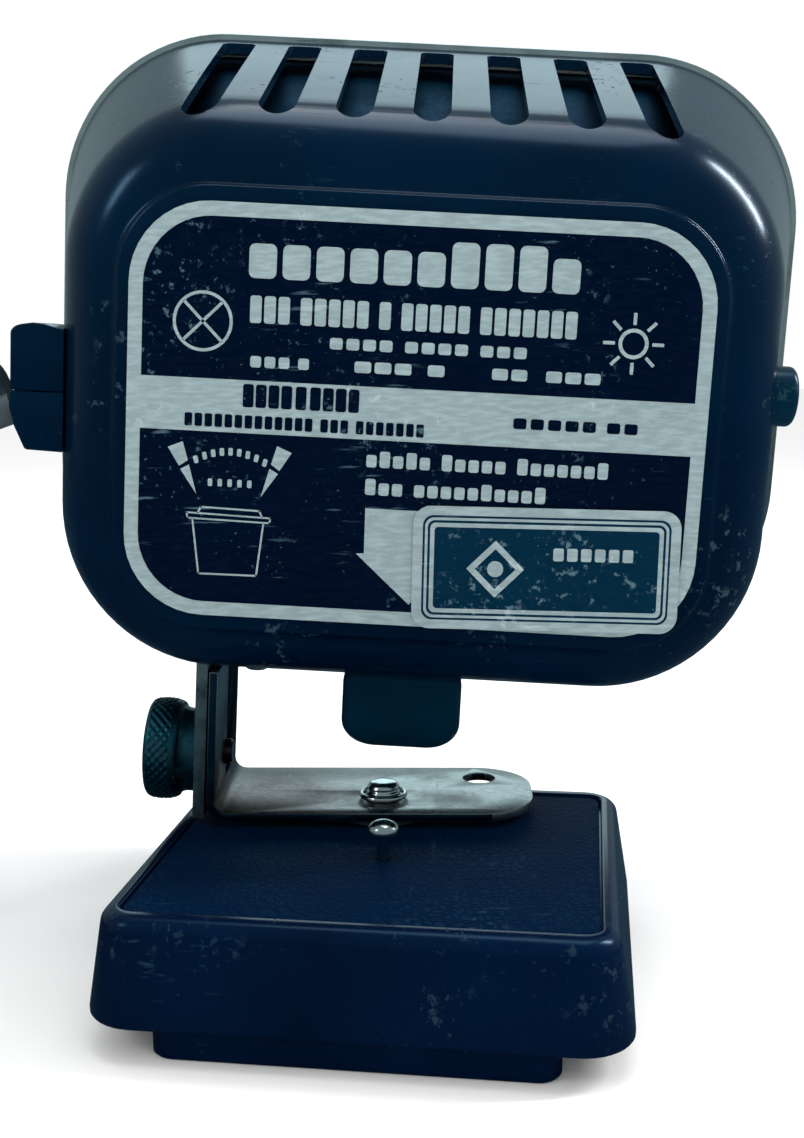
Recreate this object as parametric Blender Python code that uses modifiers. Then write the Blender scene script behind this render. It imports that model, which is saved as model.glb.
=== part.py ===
"""A clip-on movie light of the Super 8 years, on its bracket and a small platform base.

Metres, +Z up. The origin is the middle of the base's underside. +Y is the way the lamp
shines, and the label side faces -Y. The lamp head is drawn in a frame of its own, whose
origin is the middle of the label, and which leans a little with the bent bracket.
"""

import math

import bmesh
import bpy
import numpy as np
from mathutils import Matrix, Vector

MM = 0.001
GAP = 0.3 * MM  # left between pieces that touch

# The lamp head's frame
HEAD_ORIGIN = Vector((5.5, 0.0, 92.8)) * MM
LEAN = math.radians(3.26)  # the bracket's leg is bent in by this much

# Housing, in the head's frame
REAR_Y, FRONT_Y = 8 * MM, 56 * MM
REAR_HALF_WIDTH, FRONT_HALF_WIDTH = 59 * MM, 70.8 * MM
REAR_TOP, FRONT_TOP = 49.4 * MM, 68.8 * MM
FLOOR = -44 * MM
REAR_CORNER, FRONT_CORNER = 27 * MM, 31 * MM
WALL = 2 * MM
EDGE_DEPTH, EDGE_INSET = 8.4 * MM, 7.2 * MM  # the rounding between sides and rear face
SHOULDER_Y = 2.4 * MM
PANEL_Y = 0.9 * MM  # the raised panel under the label
PANEL_HALF_WIDTH, PANEL_HALF_HEIGHT, PANEL_CORNER = 49 * MM, 35.8 * MM, 15 * MM
SLOT_PITCH, SLOT_WIDTH, SLOT_COUNT = 12.55 * MM, 6.2 * MM, 7
SLOT_REAR, SLOT_FRONT = 6.6 * MM, 52.3 * MM

# Lamp, reflector and beam lever, in the head's frame
LAMP_Y, LAMP_Z = 30 * MM, 12 * MM
THROAT_Y, MOUTH_Y = 22 * MM, 57.5 * MM
THROAT_HALF_WIDTH, THROAT_HALF_HEIGHT = 46 * MM, 9 * MM
MOUTH_HALF_WIDTH, MOUTH_HALF_HEIGHT = 66 * MM, 52.6 * MM
LEVER_TRAVEL = 9 * MM
LEVER_HALF_WIDTH, LEVER_Y, LEVER_DEPTH, LEVER_BOTTOM = 10.4 * MM, 11 * MM, 9 * MM, -57.6 * MM

# Switch on the right and cord clamp on the left, in the head's frame
SIDE_Y = 15.5 * MM
SWITCH_Z, BUTTON_RADIUS, BUTTON_TRAVEL = 7 * MM, 5.1 * MM, 1.8 * MM
CLAMP_TOP, CLAMP_SPLIT, CLAMP_BOTTOM, CLAMP_END = 12.9 * MM, 1.6 * MM, -8.4 * MM, -67.9 * MM

# Bracket: the plate on the head, and the bent bracket that stands on the base
PLATE_FACE, PLATE_THICK = -35.7 * MM, 2 * MM
LEG_FACE, STRIP_THICK = -33.4 * MM, 1.5 * MM
STRIP_WIDTH, STRIP_MID_Y = 27 * MM, 22.8 * MM
PIVOT_Z = -63.2 * MM  # the thumb screw's axis, in the head's frame
LEG_TOP, PLATE_BOTTOM = -45.2 * MM, -71.6 * MM
ARM_TOP, ARM_END = 24.15 * MM, 26.4 * MM

# Base
BASE_TURN = math.radians(-6.5)  # the base is turned under the bracket by this much
TOP_HALF_WIDTH, TOP_HALF_DEPTH = 39 * MM, 34.6 * MM
SPLAY = 2.6 * MM  # how far the walls lean out at the bottom
BASE_TOP, BLOCK_BOTTOM = 21.65 * MM, 5.2 * MM
FOOT_HALF_WIDTH, FOOT_HALF_DEPTH, FOOT_TOP = 30.8 * MM, 35.3 * MM, 4.9 * MM
PAD_HALF_WIDTH, PAD_HALF_DEPTH, PAD_DEPTH = 36 * MM, 30.8 * MM, 1.2 * MM
SCREW_X, SCREW_Y, SCREW_RADIUS = -0.8 * MM, 18 * MM, 3.05 * MM
PIN_X, PIN_Y = 0.0, -4.9 * MM

# Mains cord: a flat two-core cord, its width given as its diameter
CORD_RADIUS = 4.25 * MM
CORD_EXIT, CORD_WAY = Vector((-65.7, 15.5, 96.5)) * MM, Vector((-0.87, 0.0, -0.49))
RELIEF_LENGTH = 25 * MM
CORD_ROUTE = [  # from the strain relief down to the top of the coil, in metres
    (-0.0885, 0.0155, 0.0836), (-0.0985, 0.0140, 0.0780), (-0.1070, 0.0095, 0.0685),
    (-0.1130, 0.0025, 0.0570), (-0.1175, -0.0075, 0.0445), (-0.1210, -0.0170, 0.0340),
    (-0.1250, -0.0250, 0.0272), (-0.1302, -0.0310, 0.0240), (-0.1365, -0.0352, 0.0231),
]
COIL_X, COIL_Y = -152 * MM, 12 * MM
COIL_INNER, COIL_OUTER, COIL_BOTTOM, COIL_TOP = 34.4 * MM, 62.4 * MM, 1.3 * MM, 18.5 * MM
PLUG_ANGLE = math.radians(100)  # where on the coil the plug lies

for old in list(bpy.data.objects):
    bpy.data.objects.remove(old)
parts = bpy.data.collections.new("movie_light")
cutters = bpy.data.collections.new("cutters")
for group in (parts, cutters):
    bpy.context.scene.collection.children.link(group)


def material(name, colour, roughness, metallic=0.0):
    made = bpy.data.materials.new(name)
    made.use_nodes = True
    shader = made.node_tree.nodes["Principled BSDF"]
    shader.inputs["Base Color"].default_value = (*colour, 1.0)
    shader.inputs["Roughness"].default_value = roughness
    shader.inputs["Metallic"].default_value = metallic
    made.diffuse_color = (*colour, 1.0)
    return made


BLACK = material("black_moulding", (0.012, 0.014, 0.018), 0.25)
CHROME = material("chromed_steel", (0.62, 0.63, 0.62), 0.22, 1.0)
ALUMINIUM = material("bright_aluminium", (0.80, 0.80, 0.80), 0.18, 1.0)
FOIL = material("foil_label", (0.45, 0.48, 0.50), 0.40, 0.8)
CERAMIC = material("white_ceramic", (0.80, 0.78, 0.72), 0.60)
QUARTZ = material("quartz_glass", (0.85, 0.88, 0.90), 0.05)
SPRING_BRASS = material("spring_brass", (0.60, 0.42, 0.16), 0.35, 1.0)
FIBRE = material("mineral_fibre", (0.70, 0.67, 0.60), 0.90)
GRAIN = material("grained_black", (0.015, 0.016, 0.020), 0.65)
CORD_GREY = material("cord_grey", (0.09, 0.11, 0.12), 0.50)


def frame(name, location, turn):
    """An empty that a group of pieces is placed by."""
    empty = bpy.data.objects.new(name, None)
    empty.location = location
    empty.rotation_euler = turn
    parts.objects.link(empty)
    return empty


HEAD = frame("head_frame", HEAD_ORIGIN, (0.0, LEAN, 0.0))
BASE = frame("base_frame", (0.0, 0.0, 0.0), (0.0, 0.0, BASE_TURN))
bpy.context.view_layer.update()


def place(name, mesh, paint, parent=None, cutter=False):
    """Make an object of a mesh or curve, in the parts or in the cutters."""
    made = bpy.data.objects.new(name, mesh)
    (cutters if cutter else parts).objects.link(made)
    made.parent = parent
    if cutter:
        made.hide_render = True
        made.display_type = "WIRE"
    elif paint:
        mesh.materials.append(paint)
    return made


def mesh_of(made, name, smooth=True):
    """A mesh of a bmesh, with its faces pointing out."""
    bmesh.ops.recalc_face_normals(made, faces=made.faces)
    mesh = bpy.data.meshes.new(name)
    made.to_mesh(mesh)
    made.free()
    if smooth:
        mesh.shade_smooth()
        mesh.set_sharp_from_angle(angle=math.radians(35))
    return mesh


def box(name, low, high, paint=None, parent=None, cutter=False, round_by=0.0):
    """A box between two corners, given in mm, with all its edges rounded by round_by."""
    low, high = Vector(low) * MM, Vector(high) * MM
    made = bmesh.new()
    size = Matrix.Diagonal((*(high - low), 1.0))
    bmesh.ops.create_cube(made, size=1.0, matrix=Matrix.Translation((low + high) / 2) @ size)
    obj = place(name, mesh_of(made, name, smooth=False), paint, parent, cutter)
    if round_by:
        bevel = obj.modifiers.new("rounding", "BEVEL")
        bevel.width = round_by * MM
        bevel.segments = 3
    return obj


AXES = {
    "x": Matrix.Rotation(math.radians(90), 4, "Y"),
    "y": Matrix.Rotation(math.radians(-90), 4, "X"),
    "z": Matrix.Identity(4),
}


def rod(name, start, length, radius, axis="z", paint=None, parent=None, cutter=False, sides=32):
    """A cylinder from start, in mm, along an axis."""
    made = bmesh.new()
    matrix = (
        Matrix.Translation(Vector(start) * MM)
        @ AXES[axis]
        @ Matrix.Translation((0, 0, length * MM / 2))
    )
    bmesh.ops.create_cone(
        made, cap_ends=True, segments=sides, radius1=radius * MM, radius2=radius * MM,
        depth=length * MM, matrix=matrix,
    )
    return place(name, mesh_of(made, name), paint, parent, cutter)


def turned(name, profile, at, axis="z", paint=None, parent=None, cutter=False, steps=32):
    """A solid of revolution. The profile gives (radius, height) in mm, top to bottom."""
    made = bmesh.new()
    points = [made.verts.new((r * MM, 0, h * MM)) for r, h in profile]
    for a, b in zip(points, points[1:]):
        made.edges.new((a, b))
    mesh = bpy.data.meshes.new(name)
    made.to_mesh(mesh)
    made.free()
    obj = place(name, mesh, paint, parent, cutter)
    obj.matrix_local = Matrix.Translation(Vector(at) * MM) @ AXES[axis]
    screw = obj.modifiers.new("turning", "SCREW")
    screw.steps = screw.render_steps = steps
    screw.use_merge_vertices = True
    screw.merge_threshold = 0.00001
    screw.use_smooth_shade = False
    return obj


def rounded(half_width, low, high, corner, y, steps=8):
    """Points of a rounded rectangle in the plane y, four corners of steps arcs each."""
    points = []
    middles = [
        (half_width - corner, high - corner, 0),
        (corner - half_width, high - corner, 90),
        (corner - half_width, low + corner, 180),
        (half_width - corner, low + corner, 270),
    ]
    for x, z, start in middles:
        for i in range(steps + 1):
            angle = math.radians(start + 90 * i / steps)
            points.append(Vector((x + corner * math.cos(angle), y, z + corner * math.sin(angle))))
    return points


def skin(name, rings, paint=None, parent=None, closed=False, cutter=False, smooth=True):
    """A solid through rings of points: capped at both ends, or closed round like a tyre."""
    made = bmesh.new()
    lines = [[made.verts.new(p) for p in ring] for ring in rings]
    pairs = list(zip(lines, lines[1:])) + ([(lines[-1], lines[0])] if closed else [])
    for a, b in pairs:
        for i in range(len(a)):
            j = (i + 1) % len(a)
            made.faces.new((a[i], a[j], b[j], b[i]))
    if not closed:
        made.faces.new(lines[0])
        made.faces.new(reversed(lines[-1]))
    return place(name, mesh_of(made, name, smooth), paint, parent, cutter)


def cut(obj, *tools):
    """Take the tools away from an object."""
    for tool in tools:
        change = obj.modifiers.new("cut", "BOOLEAN")
        change.operation = "DIFFERENCE"
        change.object = tool


def join(obj, *tools):
    """Grow an object by the tools, which are in the cutters."""
    for tool in tools:
        change = obj.modifiers.new("join", "BOOLEAN")
        change.operation = "UNION"
        change.object = tool


def tube(name, points, radius, paint, parent=None, resolution=2):
    """A round wire or cord along points in metres."""
    curve = bpy.data.curves.new(name, "CURVE")
    curve.dimensions = "3D"
    curve.bevel_depth = radius
    curve.bevel_resolution = resolution
    curve.use_fill_caps = True
    line = curve.splines.new("POLY")
    line.points.add(len(points) - 1)
    for point, co in zip(line.points, points):
        point.co = (*co, 1.0)
    return place(name, curve, paint, parent)


def smooth_curve(points, spacing):
    """Points a given way apart on a Catmull-Rom curve through the points."""
    p = np.array([Vector(q) for q in points], float)
    p = np.vstack([2 * p[0] - p[1], p, 2 * p[-1] - p[-2]])
    fine = []
    for i in range(1, len(p) - 2):
        a, b, c, d = p[i - 1 : i + 3]
        for t in np.linspace(0, 1, 24, endpoint=False):
            fine.append(
                0.5 * (2 * b + (c - a) * t + (2 * a - 5 * b + 4 * c - d) * t**2
                       + (3 * b - a - 3 * c + d) * t**3)
            )
    fine.append(p[-2])
    fine = np.array(fine)
    along = np.r_[0, np.cumsum(np.linalg.norm(np.diff(fine, axis=0), axis=1))]
    count = max(2, round(along[-1] / spacing) + 1)
    wanted = np.linspace(0, along[-1], count)
    return [tuple(np.interp(t, along, fine[:, k]) for k in range(3)) for t in wanted]


# ---------------------------------------------------------------- housing


def flare(y, rear, front):
    """A housing size at depth y, on the straight line from its rear to its front value."""
    return rear + (front - rear) * (y - REAR_Y) / (FRONT_Y - REAR_Y)


def housing_ring(y, inset=0.0):
    """The housing's outline at depth y, drawn in by inset."""
    return rounded(
        flare(y, REAR_HALF_WIDTH, FRONT_HALF_WIDTH) - inset,
        FLOOR + inset,
        flare(y, REAR_TOP, FRONT_TOP) - inset,
        flare(y, REAR_CORNER, FRONT_CORNER) - inset * 0.8,
        y,
    )


def panel_ring(y, grow=0.0):
    return rounded(
        PANEL_HALF_WIDTH + grow, -PANEL_HALF_HEIGHT - grow, PANEL_HALF_HEIGHT + grow,
        PANEL_CORNER + grow, y,
    )


outside = [panel_ring(PANEL_Y), panel_ring(SHOULDER_Y, 0.8 * MM)]
for degrees in (0, 22.5, 45, 67.5, 90):
    turn = math.radians(degrees)
    outside.append(
        housing_ring(SHOULDER_Y + EDGE_DEPTH * (1 - math.cos(turn)), EDGE_INSET * (1 - math.sin(turn)))
    )
outside += [housing_ring(y * MM) for y in (20, 32, 44, 56)]
inside = [housing_ring(y * MM, WALL) for y in (56, 44, 32, 20, 12)]
inside += [housing_ring(6 * MM, 4.5 * MM), housing_ring(4.4 * MM, 9 * MM)]
rear_housing = skin("rear_housing", outside + inside, BLACK, HEAD)
for i in range(SLOT_COUNT):
    x = (i - (SLOT_COUNT - 1) / 2) * SLOT_PITCH / MM
    half, rear, front = SLOT_WIDTH / MM / 2, SLOT_REAR / MM, SLOT_FRONT / MM
    straight = box(f"slot_{i}", (x - half, rear + half, 34), (x + half, front, 80),
                   parent=HEAD, cutter=True)
    end = rod(f"slot_end_{i}", (x, rear + half, 30), 50, half, parent=HEAD, cutter=True, sides=24)
    cut(rear_housing, straight, end)
lever_opening = box(
    "lever_opening", (-7, LEVER_Y / MM - 1, -48), (7, LEVER_Y / MM + 15, -40), parent=HEAD, cutter=True
)
plate_opening = box("plate_opening", (-36.2, 9, -48), (-31.3, 36.6, -40), parent=HEAD, cutter=True)
button_hole = rod("button_hole", (50, SIDE_Y / MM, SWITCH_Z / MM), 20, BUTTON_RADIUS / MM + 0.4,
                  axis="x", parent=HEAD, cutter=True)
cord_hole = rod("cord_hole", (-70, SIDE_Y / MM, CLAMP_SPLIT / MM), 20, 4.6, axis="x",
                parent=HEAD, cutter=True)
rivet_holes = [
    rod(f"rivet_hole_{i}", (-26, y, -48), 10, 1.8, parent=HEAD, cutter=True)
    for i, y in enumerate((15.8, 29.8))
]
cut(rear_housing, lever_opening, plate_opening, button_hole, cord_hole, *rivet_holes)

# The bright frame that holds the reflector and the guard in the mouth
def bezel_ring(inset, y):
    return rounded(
        FRONT_HALF_WIDTH - inset * MM, FLOOR + inset * MM, FRONT_TOP - inset * MM,
        FRONT_CORNER - inset * MM, y * MM,
    )


bezel_profile = [(-0.9, 56.35), (-1.2, 57.6), (-0.8, 59.6), (0.6, 61.2), (3.2, 61.6), (5.4, 60.8),
                 (5.6, 59.2), (3.4, 58.4), (2.2, 58.0), (2.2, 56.35)]
front_bezel = skin("front_bezel", [bezel_ring(*p) for p in bezel_profile], CHROME, HEAD, closed=True)

# Reflector: a dished rectangular trough with an open throat for the lamp to slide through
MOUTH_MIDDLE = (FRONT_TOP + FLOOR) / 2


def reflector_ring(share, grow):
    """The reflector's outline, from 0 at the throat to 1 at the mouth."""
    bow = share**0.6
    half_width = THROAT_HALF_WIDTH + (MOUTH_HALF_WIDTH - THROAT_HALF_WIDTH) * bow + grow
    half_height = THROAT_HALF_HEIGHT + (MOUTH_HALF_HEIGHT - THROAT_HALF_HEIGHT) * bow + grow
    corner = 5 * MM + 22 * MM * bow
    return rounded(
        half_width, MOUTH_MIDDLE - half_height, MOUTH_MIDDLE + half_height, corner,
        THROAT_Y + (MOUTH_Y - THROAT_Y) * share,
    )


shares = (0, 0.04, 0.12, 0.25, 0.45, 0.7, 1)
reflector = skin(
    "reflector",
    [reflector_ring(s, 0.0) for s in shares] + [reflector_ring(s, 0.8 * MM) for s in reversed(shares)],
    ALUMINIUM, HEAD, closed=True,
)

# Guard: a wire frame in the mouth with bars welded to it
GUARD_Y, GUARD_WIRE = 59.6, 0.8


def guard_ring(turn):
    """The frame wire's outline at a turn round the wire's own section."""
    return bezel_ring(7.2 - GUARD_WIRE * math.cos(turn), GUARD_Y + GUARD_WIRE * math.sin(turn))


guard_wires = skin(
    "guard_wires", [guard_ring(math.radians(a)) for a in range(0, 360, 60)], CHROME, HEAD, closed=True
)
for i, z in enumerate((-16, 12.4, 40.8)):
    join(guard_wires, rod(f"guard_bar_{i}", (-63.4, GUARD_Y, z), 126.8, GUARD_WIRE, axis="x",
                          parent=HEAD, cutter=True, sides=8))
for i in range(7):
    x = (i - 3) * 15.5
    join(guard_wires, rod(f"guard_rod_{i}", (x, GUARD_Y + 0.9, -36.6), 98, GUARD_WIRE, axis="z",
                          parent=HEAD, cutter=True, sides=8))

# Heat baffle between the reflector and the rear face, held off by two pillars
baffle_ring = [rounded(47 * MM, -33 * MM, 37 * MM, 14 * MM, y * MM, steps=5) for y in (7.0, 7.8)]
heat_baffle = skin("heat_baffle", baffle_ring, ALUMINIUM, HEAD, smooth=False)

# ---------------------------------------------------------------- lamp and beam slide

lamp_x, lamp_z = LAMP_Y / MM, LAMP_Z / MM
lamp_tube = turned(
    "lamp_tube",
    [(0, 31.5), (2.4, 31.5), (2.8, 28), (5, 26.5), (5, -26.5), (2.8, -28), (2.4, -31.5), (0, -31.5)],
    (0, lamp_x, lamp_z), axis="x", paint=QUARTZ, parent=HEAD, steps=24,
)
for side, sign in (("left", -1), ("right", 1)):
    start = 31.8 if sign > 0 else -36.0
    rod(f"lamp_cap_{side}", (start, lamp_x, lamp_z), 4.2, 3.6, axis="x", paint=CERAMIC, parent=HEAD,
        sides=24)
    low, high = sorted((36.6 * sign, 43.6 * sign))
    holder = box(f"lamp_holder_{side}", (low, lamp_x - 7, lamp_z - 6.5), (high, lamp_x + 6, lamp_z + 6.5),
                 CERAMIC, HEAD, round_by=0.8)
    strip_low, strip_high = sorted((43.9 * sign, 44.7 * sign))
    box(f"contact_{side}", (strip_low, lamp_x - 6, lamp_z - 2.5), (strip_high, lamp_x + 5, lamp_z + 2.5),
        SPRING_BRASS, HEAD)

carriage = box("lamp_carriage", (-43.4, 11, lamp_z - 4), (43.4, 12.2, lamp_z + 4), CHROME, HEAD)
for sign in (-1, 1):
    low, high = sorted((41.8 * sign, 43.4 * sign))
    join(carriage, box(f"carriage_arm_{sign}", (low, 11.6, lamp_z - 4), (high, 22.7, lamp_z + 4),
                       parent=HEAD, cutter=True))
join(carriage, box("carriage_link", (-5.5, 11, -42.8), (5.5, 12.2, lamp_z), parent=HEAD, cutter=True))

lever_low, lever_high = LEVER_Y / MM, (LEVER_Y + LEVER_DEPTH) / MM
beam_lever = box(
    "beam_lever", (-LEVER_HALF_WIDTH / MM, lever_low, LEVER_BOTTOM / MM),
    (LEVER_HALF_WIDTH / MM, lever_high, -44.4), BLACK, HEAD, round_by=2.2,
)
join(beam_lever, box("lever_stem", (-6, 12.5, -46), (6, 15.5, -32), parent=HEAD, cutter=True))
for i, x in enumerate((-3, 3)):
    rod(f"lever_rivet_{i + 1}", (x, 10.0, -37), 0.7, 2.0, axis="y", paint=SPRING_BRASS, parent=HEAD, sides=16)

# ---------------------------------------------------------------- labels


def slab(name, low, high, corner, y_low, y_high, paint):
    """A rounded rectangular plate, its corners (x, z) in mm."""
    middle = (low[0] + high[0]) / 2 * MM
    rings = []
    for y in (y_low, y_high):
        ring = rounded((high[0] - low[0]) / 2 * MM, low[1] * MM, high[1] * MM, corner * MM, y * MM)
        rings.append([p + Vector((middle, 0, 0)) for p in ring])
    return skin(name, rings, paint, HEAD, smooth=False)


slab("label_plate", (-46.7, -33.2), (46.7, 33.2), 13, 0.0, 0.55, FOIL)
slab("small_label", (0.6, -32.9), (44.2, -12.5), 3.0, -0.6, -0.3, FOIL)

# ---------------------------------------------------------------- switch

wall_at_switch = flare(SIDE_Y, REAR_HALF_WIDTH, FRONT_HALF_WIDTH) / MM
switch_z = SWITCH_Z / MM
box("switch_body", (45.2, SIDE_Y / MM - 6, switch_z - 7), (54.8, SIDE_Y / MM + 5.5, switch_z + 7), BLACK, HEAD,
    round_by=0.8)
turned("switch_button",
       [(0, 4.6), (3.9, 4.6), (4.7, 4.2), (5.1, 3.3), (5.1, -2.4), (0, -2.4)],
       (wall_at_switch - 1.4, SIDE_Y / MM, switch_z), axis="x", paint=BLACK, parent=HEAD, steps=32)

# ---------------------------------------------------------------- cord clamp

side_y, split = SIDE_Y / MM, CLAMP_SPLIT / MM
clamp_rear_y, clamp_front_y, clamp_end, clamp_root = side_y - 8, side_y + 8, CLAMP_END / MM, -58.6
core = rod("clamp_core", (-80, side_y, split), 30, 4.6, axis="x", parent=HEAD, cutter=True)
wall_block = skin("wall_block", [housing_ring(y * MM, -GAP) for y in (3, 28)], parent=HEAD, cutter=True)
clamp_upper = box("cord_clamp_upper", (clamp_end, clamp_rear_y, split + 0.15), (clamp_root, clamp_front_y, CLAMP_TOP / MM),
                  BLACK, HEAD, round_by=1.6)
clamp_lower = box("cord_clamp_lower", (clamp_end, clamp_rear_y, CLAMP_BOTTOM / MM), (clamp_root, clamp_front_y, split - 0.15),
                  BLACK, HEAD, round_by=1.6)
slant = box("clamp_slant", (-8, -20, -8), (8, 20, 8), parent=HEAD, cutter=True)
slant.location = (Vector((clamp_end - 4.2, side_y, CLAMP_BOTTOM / MM - 3.6))) * MM
slant.rotation_euler = (0, math.radians(-32), 0)
cut(clamp_upper, wall_block, core)
cut(clamp_lower, wall_block, core, slant)
screw_bores = [
    rod(f"clamp_bore_{i}", (-64.9, side_y + dy, -12), 27, 1.55, parent=HEAD, cutter=True, sides=20)
    for i, dy in enumerate((-6, 6))
]
cut(clamp_upper, *screw_bores)
cut(clamp_lower, *screw_bores)
for i, dy in enumerate((-6, 6)):
    turned(f"clamp_screw_{i + 1}",
           [(0, -0.6), (1.0, -0.6), (1.2, -0.8), (1.2, -19.4), (0, -20.2)],
           (-64.9, side_y + dy, CLAMP_TOP / MM), paint=CHROME, parent=HEAD, steps=16)

# Inner wires, from the clamp to the switch and to the lamp's left contact
tube("wire_switch",
     smooth_curve([(x * MM, y * MM, z * MM) for x, y, z in
                   [(-57, 15.5, 2.6), (-52, 13.5, 8), (-48.5, 11, 20), (-46, 9.6, 34), (-36, 9.2, 41),
                    (-20, 9.2, 42), (20, 9.2, 42), (36, 9.2, 39.5), (44, 9.6, 32), (48, 11, 22), (50, 13, 14.6)]],
                  6 * MM), 1.1 * MM, CORD_GREY, HEAD)
tube("wire_lamp",
     smooth_curve([(x * MM, y * MM, z * MM) for x, y, z in
                   [(-57, 15.5, -2.4), (-53, 14, -6), (-50.5, 12.5, -13), (-50, 11, -21)]],
                  4 * MM), 1.1 * MM, CORD_GREY, HEAD)

# ---------------------------------------------------------------- bracket

plate_face, plate_thick = PLATE_FACE / MM, PLATE_THICK / MM
strip_low, strip_high = (STRIP_MID_Y - STRIP_WIDTH / 2) / MM, (STRIP_MID_Y + STRIP_WIDTH / 2) / MM
strip_mid, pivot_z = STRIP_MID_Y / MM, PIVOT_Z / MM
head_plate = box("head_plate", (plate_face, strip_low, PLATE_BOTTOM / MM),
                 (plate_face + plate_thick, strip_high, -40.0), CHROME, HEAD)
join(head_plate, box("plate_flange", (plate_face + 1, strip_low + 3, -41.5), (-20, strip_high, -40.0),
                     parent=HEAD, cutter=True))
pivot_bore = rod("pivot_bore", (-40, strip_mid, pivot_z), 12, 2.7, axis="x", parent=HEAD, cutter=True)
cut(head_plate, pivot_bore, *rivet_holes)
for i, y in enumerate((15.8, 29.8)):
    turned(f"plate_rivet_{i + 1}",
           [(0, 1.5), (1.6, 1.3), (2.7, 0.6), (2.9, 0.0), (1.5, 0.0), (1.5, -4.6), (2.9, -4.6),
            (2.7, -5.2), (1.6, -5.9), (0, -6.1)],
           (-26, y, -39.7), paint=CHROME, parent=HEAD, steps=16)

# The bent bracket: its leg is drawn in the head's frame, its arm lies flat on the base
leg_face, strip = LEG_FACE / MM, STRIP_THICK / MM
lean_point = HEAD.matrix_world @ (Vector((leg_face, 0, -60)) * MM)


def leg_to_world(x, z):
    """A point of the leaning leg, given in the head's frame, as world x and z in mm."""
    at = HEAD.matrix_world @ (Vector((x, 0, z)) * MM)
    return at.x / MM, at.z / MM


def bracket_outline():
    """The side view of the strip: down the leg, round the bend and along the arm."""
    inner_top, outer_top = leg_to_world(leg_face + strip, LEG_TOP / MM), leg_to_world(leg_face, LEG_TOP / MM)
    slope = math.tan(LEAN)
    arm_top, arm_low = ARM_TOP / MM, ARM_TOP / MM - strip
    bend = 2.2
    corner_z = arm_low + bend + strip
    corner_x = inner_top[0] - (inner_top[1] - corner_z) * slope + bend
    arc = [math.radians(a) for a in (180, 202.5, 225, 247.5, 270)]
    outer = [(corner_x + (bend + strip) * math.cos(a), corner_z + (bend + strip) * math.sin(a)) for a in arc]
    inner = [(corner_x + bend * math.cos(a), corner_z + bend * math.sin(a)) for a in reversed(arc)]
    end = ARM_END / MM
    return [outer_top, *outer, (end, arm_low), (end, arm_top), *inner, inner_top]


def strip_solid(name, outline, y_low, y_high, paint=None, parent=None, cutter=False):
    """An outline of (x, z) points in mm, carried from y_low to y_high."""
    rings = [[Vector((x, y, z)) * MM for x, z in outline] for y in (y_low, y_high)]
    return skin(name, rings, paint, parent, cutter=cutter, smooth=False)


l_bracket = strip_solid("l_bracket", bracket_outline(), strip_low, strip_high, CHROME)
corner_radius = 10.5
for i, (y, sign) in enumerate(((strip_low, 1), (strip_high, -1))):
    middle_x, middle_y = ARM_END / MM - corner_radius, y + sign * corner_radius
    square = sorted((y - sign * 3, middle_y))
    waste = box(f"corner_waste_{i}", (middle_x, square[0], 15), (ARM_END / MM + 3, square[1], 30), cutter=True)
    cut(waste, rod(f"corner_keep_{i}", (middle_x, middle_y, 10), 25, corner_radius, cutter=True, sides=48))
    cut(l_bracket, waste)
screw_x, screw_y = SCREW_X / MM, SCREW_Y / MM
cut(l_bracket,
    rod("screw_bore", (screw_x, screw_y, 0), 40, 3.5, cutter=True),
    rod("second_bore", (16.9, 29.8, 15), 20, 3.05, cutter=True),
    pivot_bore)

knob_face, knob_radius, knob_thick = -39.7, 9.3, 6.3
knurl = [
    Vector((x, strip_mid, pivot_z)) * MM
    for x in (knob_face - knob_thick, knob_face - knob_thick + 0.9, knob_face - 0.9, knob_face)
]


def knurled_ring(middle, radius):
    """Teeth of a coarse knurl round the thumb screw's axis."""
    teeth = 30
    points = []
    for i in range(2 * teeth):
        angle, r = math.pi * i / teeth, radius - (0.7 * MM if i % 2 else 0.0)
        points.append(middle + Vector((0, r * math.cos(angle), r * math.sin(angle))))
    return points


rim, full = (knob_radius - 0.9) * MM, knob_radius * MM
thumb_screw = skin("thumb_screw", [knurled_ring(m, r) for m, r in zip(knurl, (rim, full, full, rim))],
                   CHROME, HEAD, smooth=False)
join(thumb_screw,
     rod("screw_shoulder", (knob_face - 1, strip_mid, pivot_z), 4.7, 7.8, axis="x", parent=HEAD, cutter=True),
     rod("screw_shank", (knob_face - 1, strip_mid, pivot_z), 8.9, 2.35, axis="x", parent=HEAD, cutter=True,
         sides=24))

# ---------------------------------------------------------------- base


def base_ring(z, half_width, half_depth, corner, steps=6):
    """A rounded rectangle at height z, all in metres."""
    flat = rounded(half_width, -half_depth, half_depth, corner, 0.0, steps)
    return [Vector((p.x, p.z, z)) for p in flat]


def block_ring(z, grow=0.0):
    """The block's outline at height z: its walls lean out towards the bottom."""
    lean = SPLAY * (BASE_TOP - z) / (BASE_TOP - BLOCK_BOTTOM) + grow
    return base_ring(z, TOP_HALF_WIDTH + lean, TOP_HALF_DEPTH + lean, 6 * MM + lean)


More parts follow.
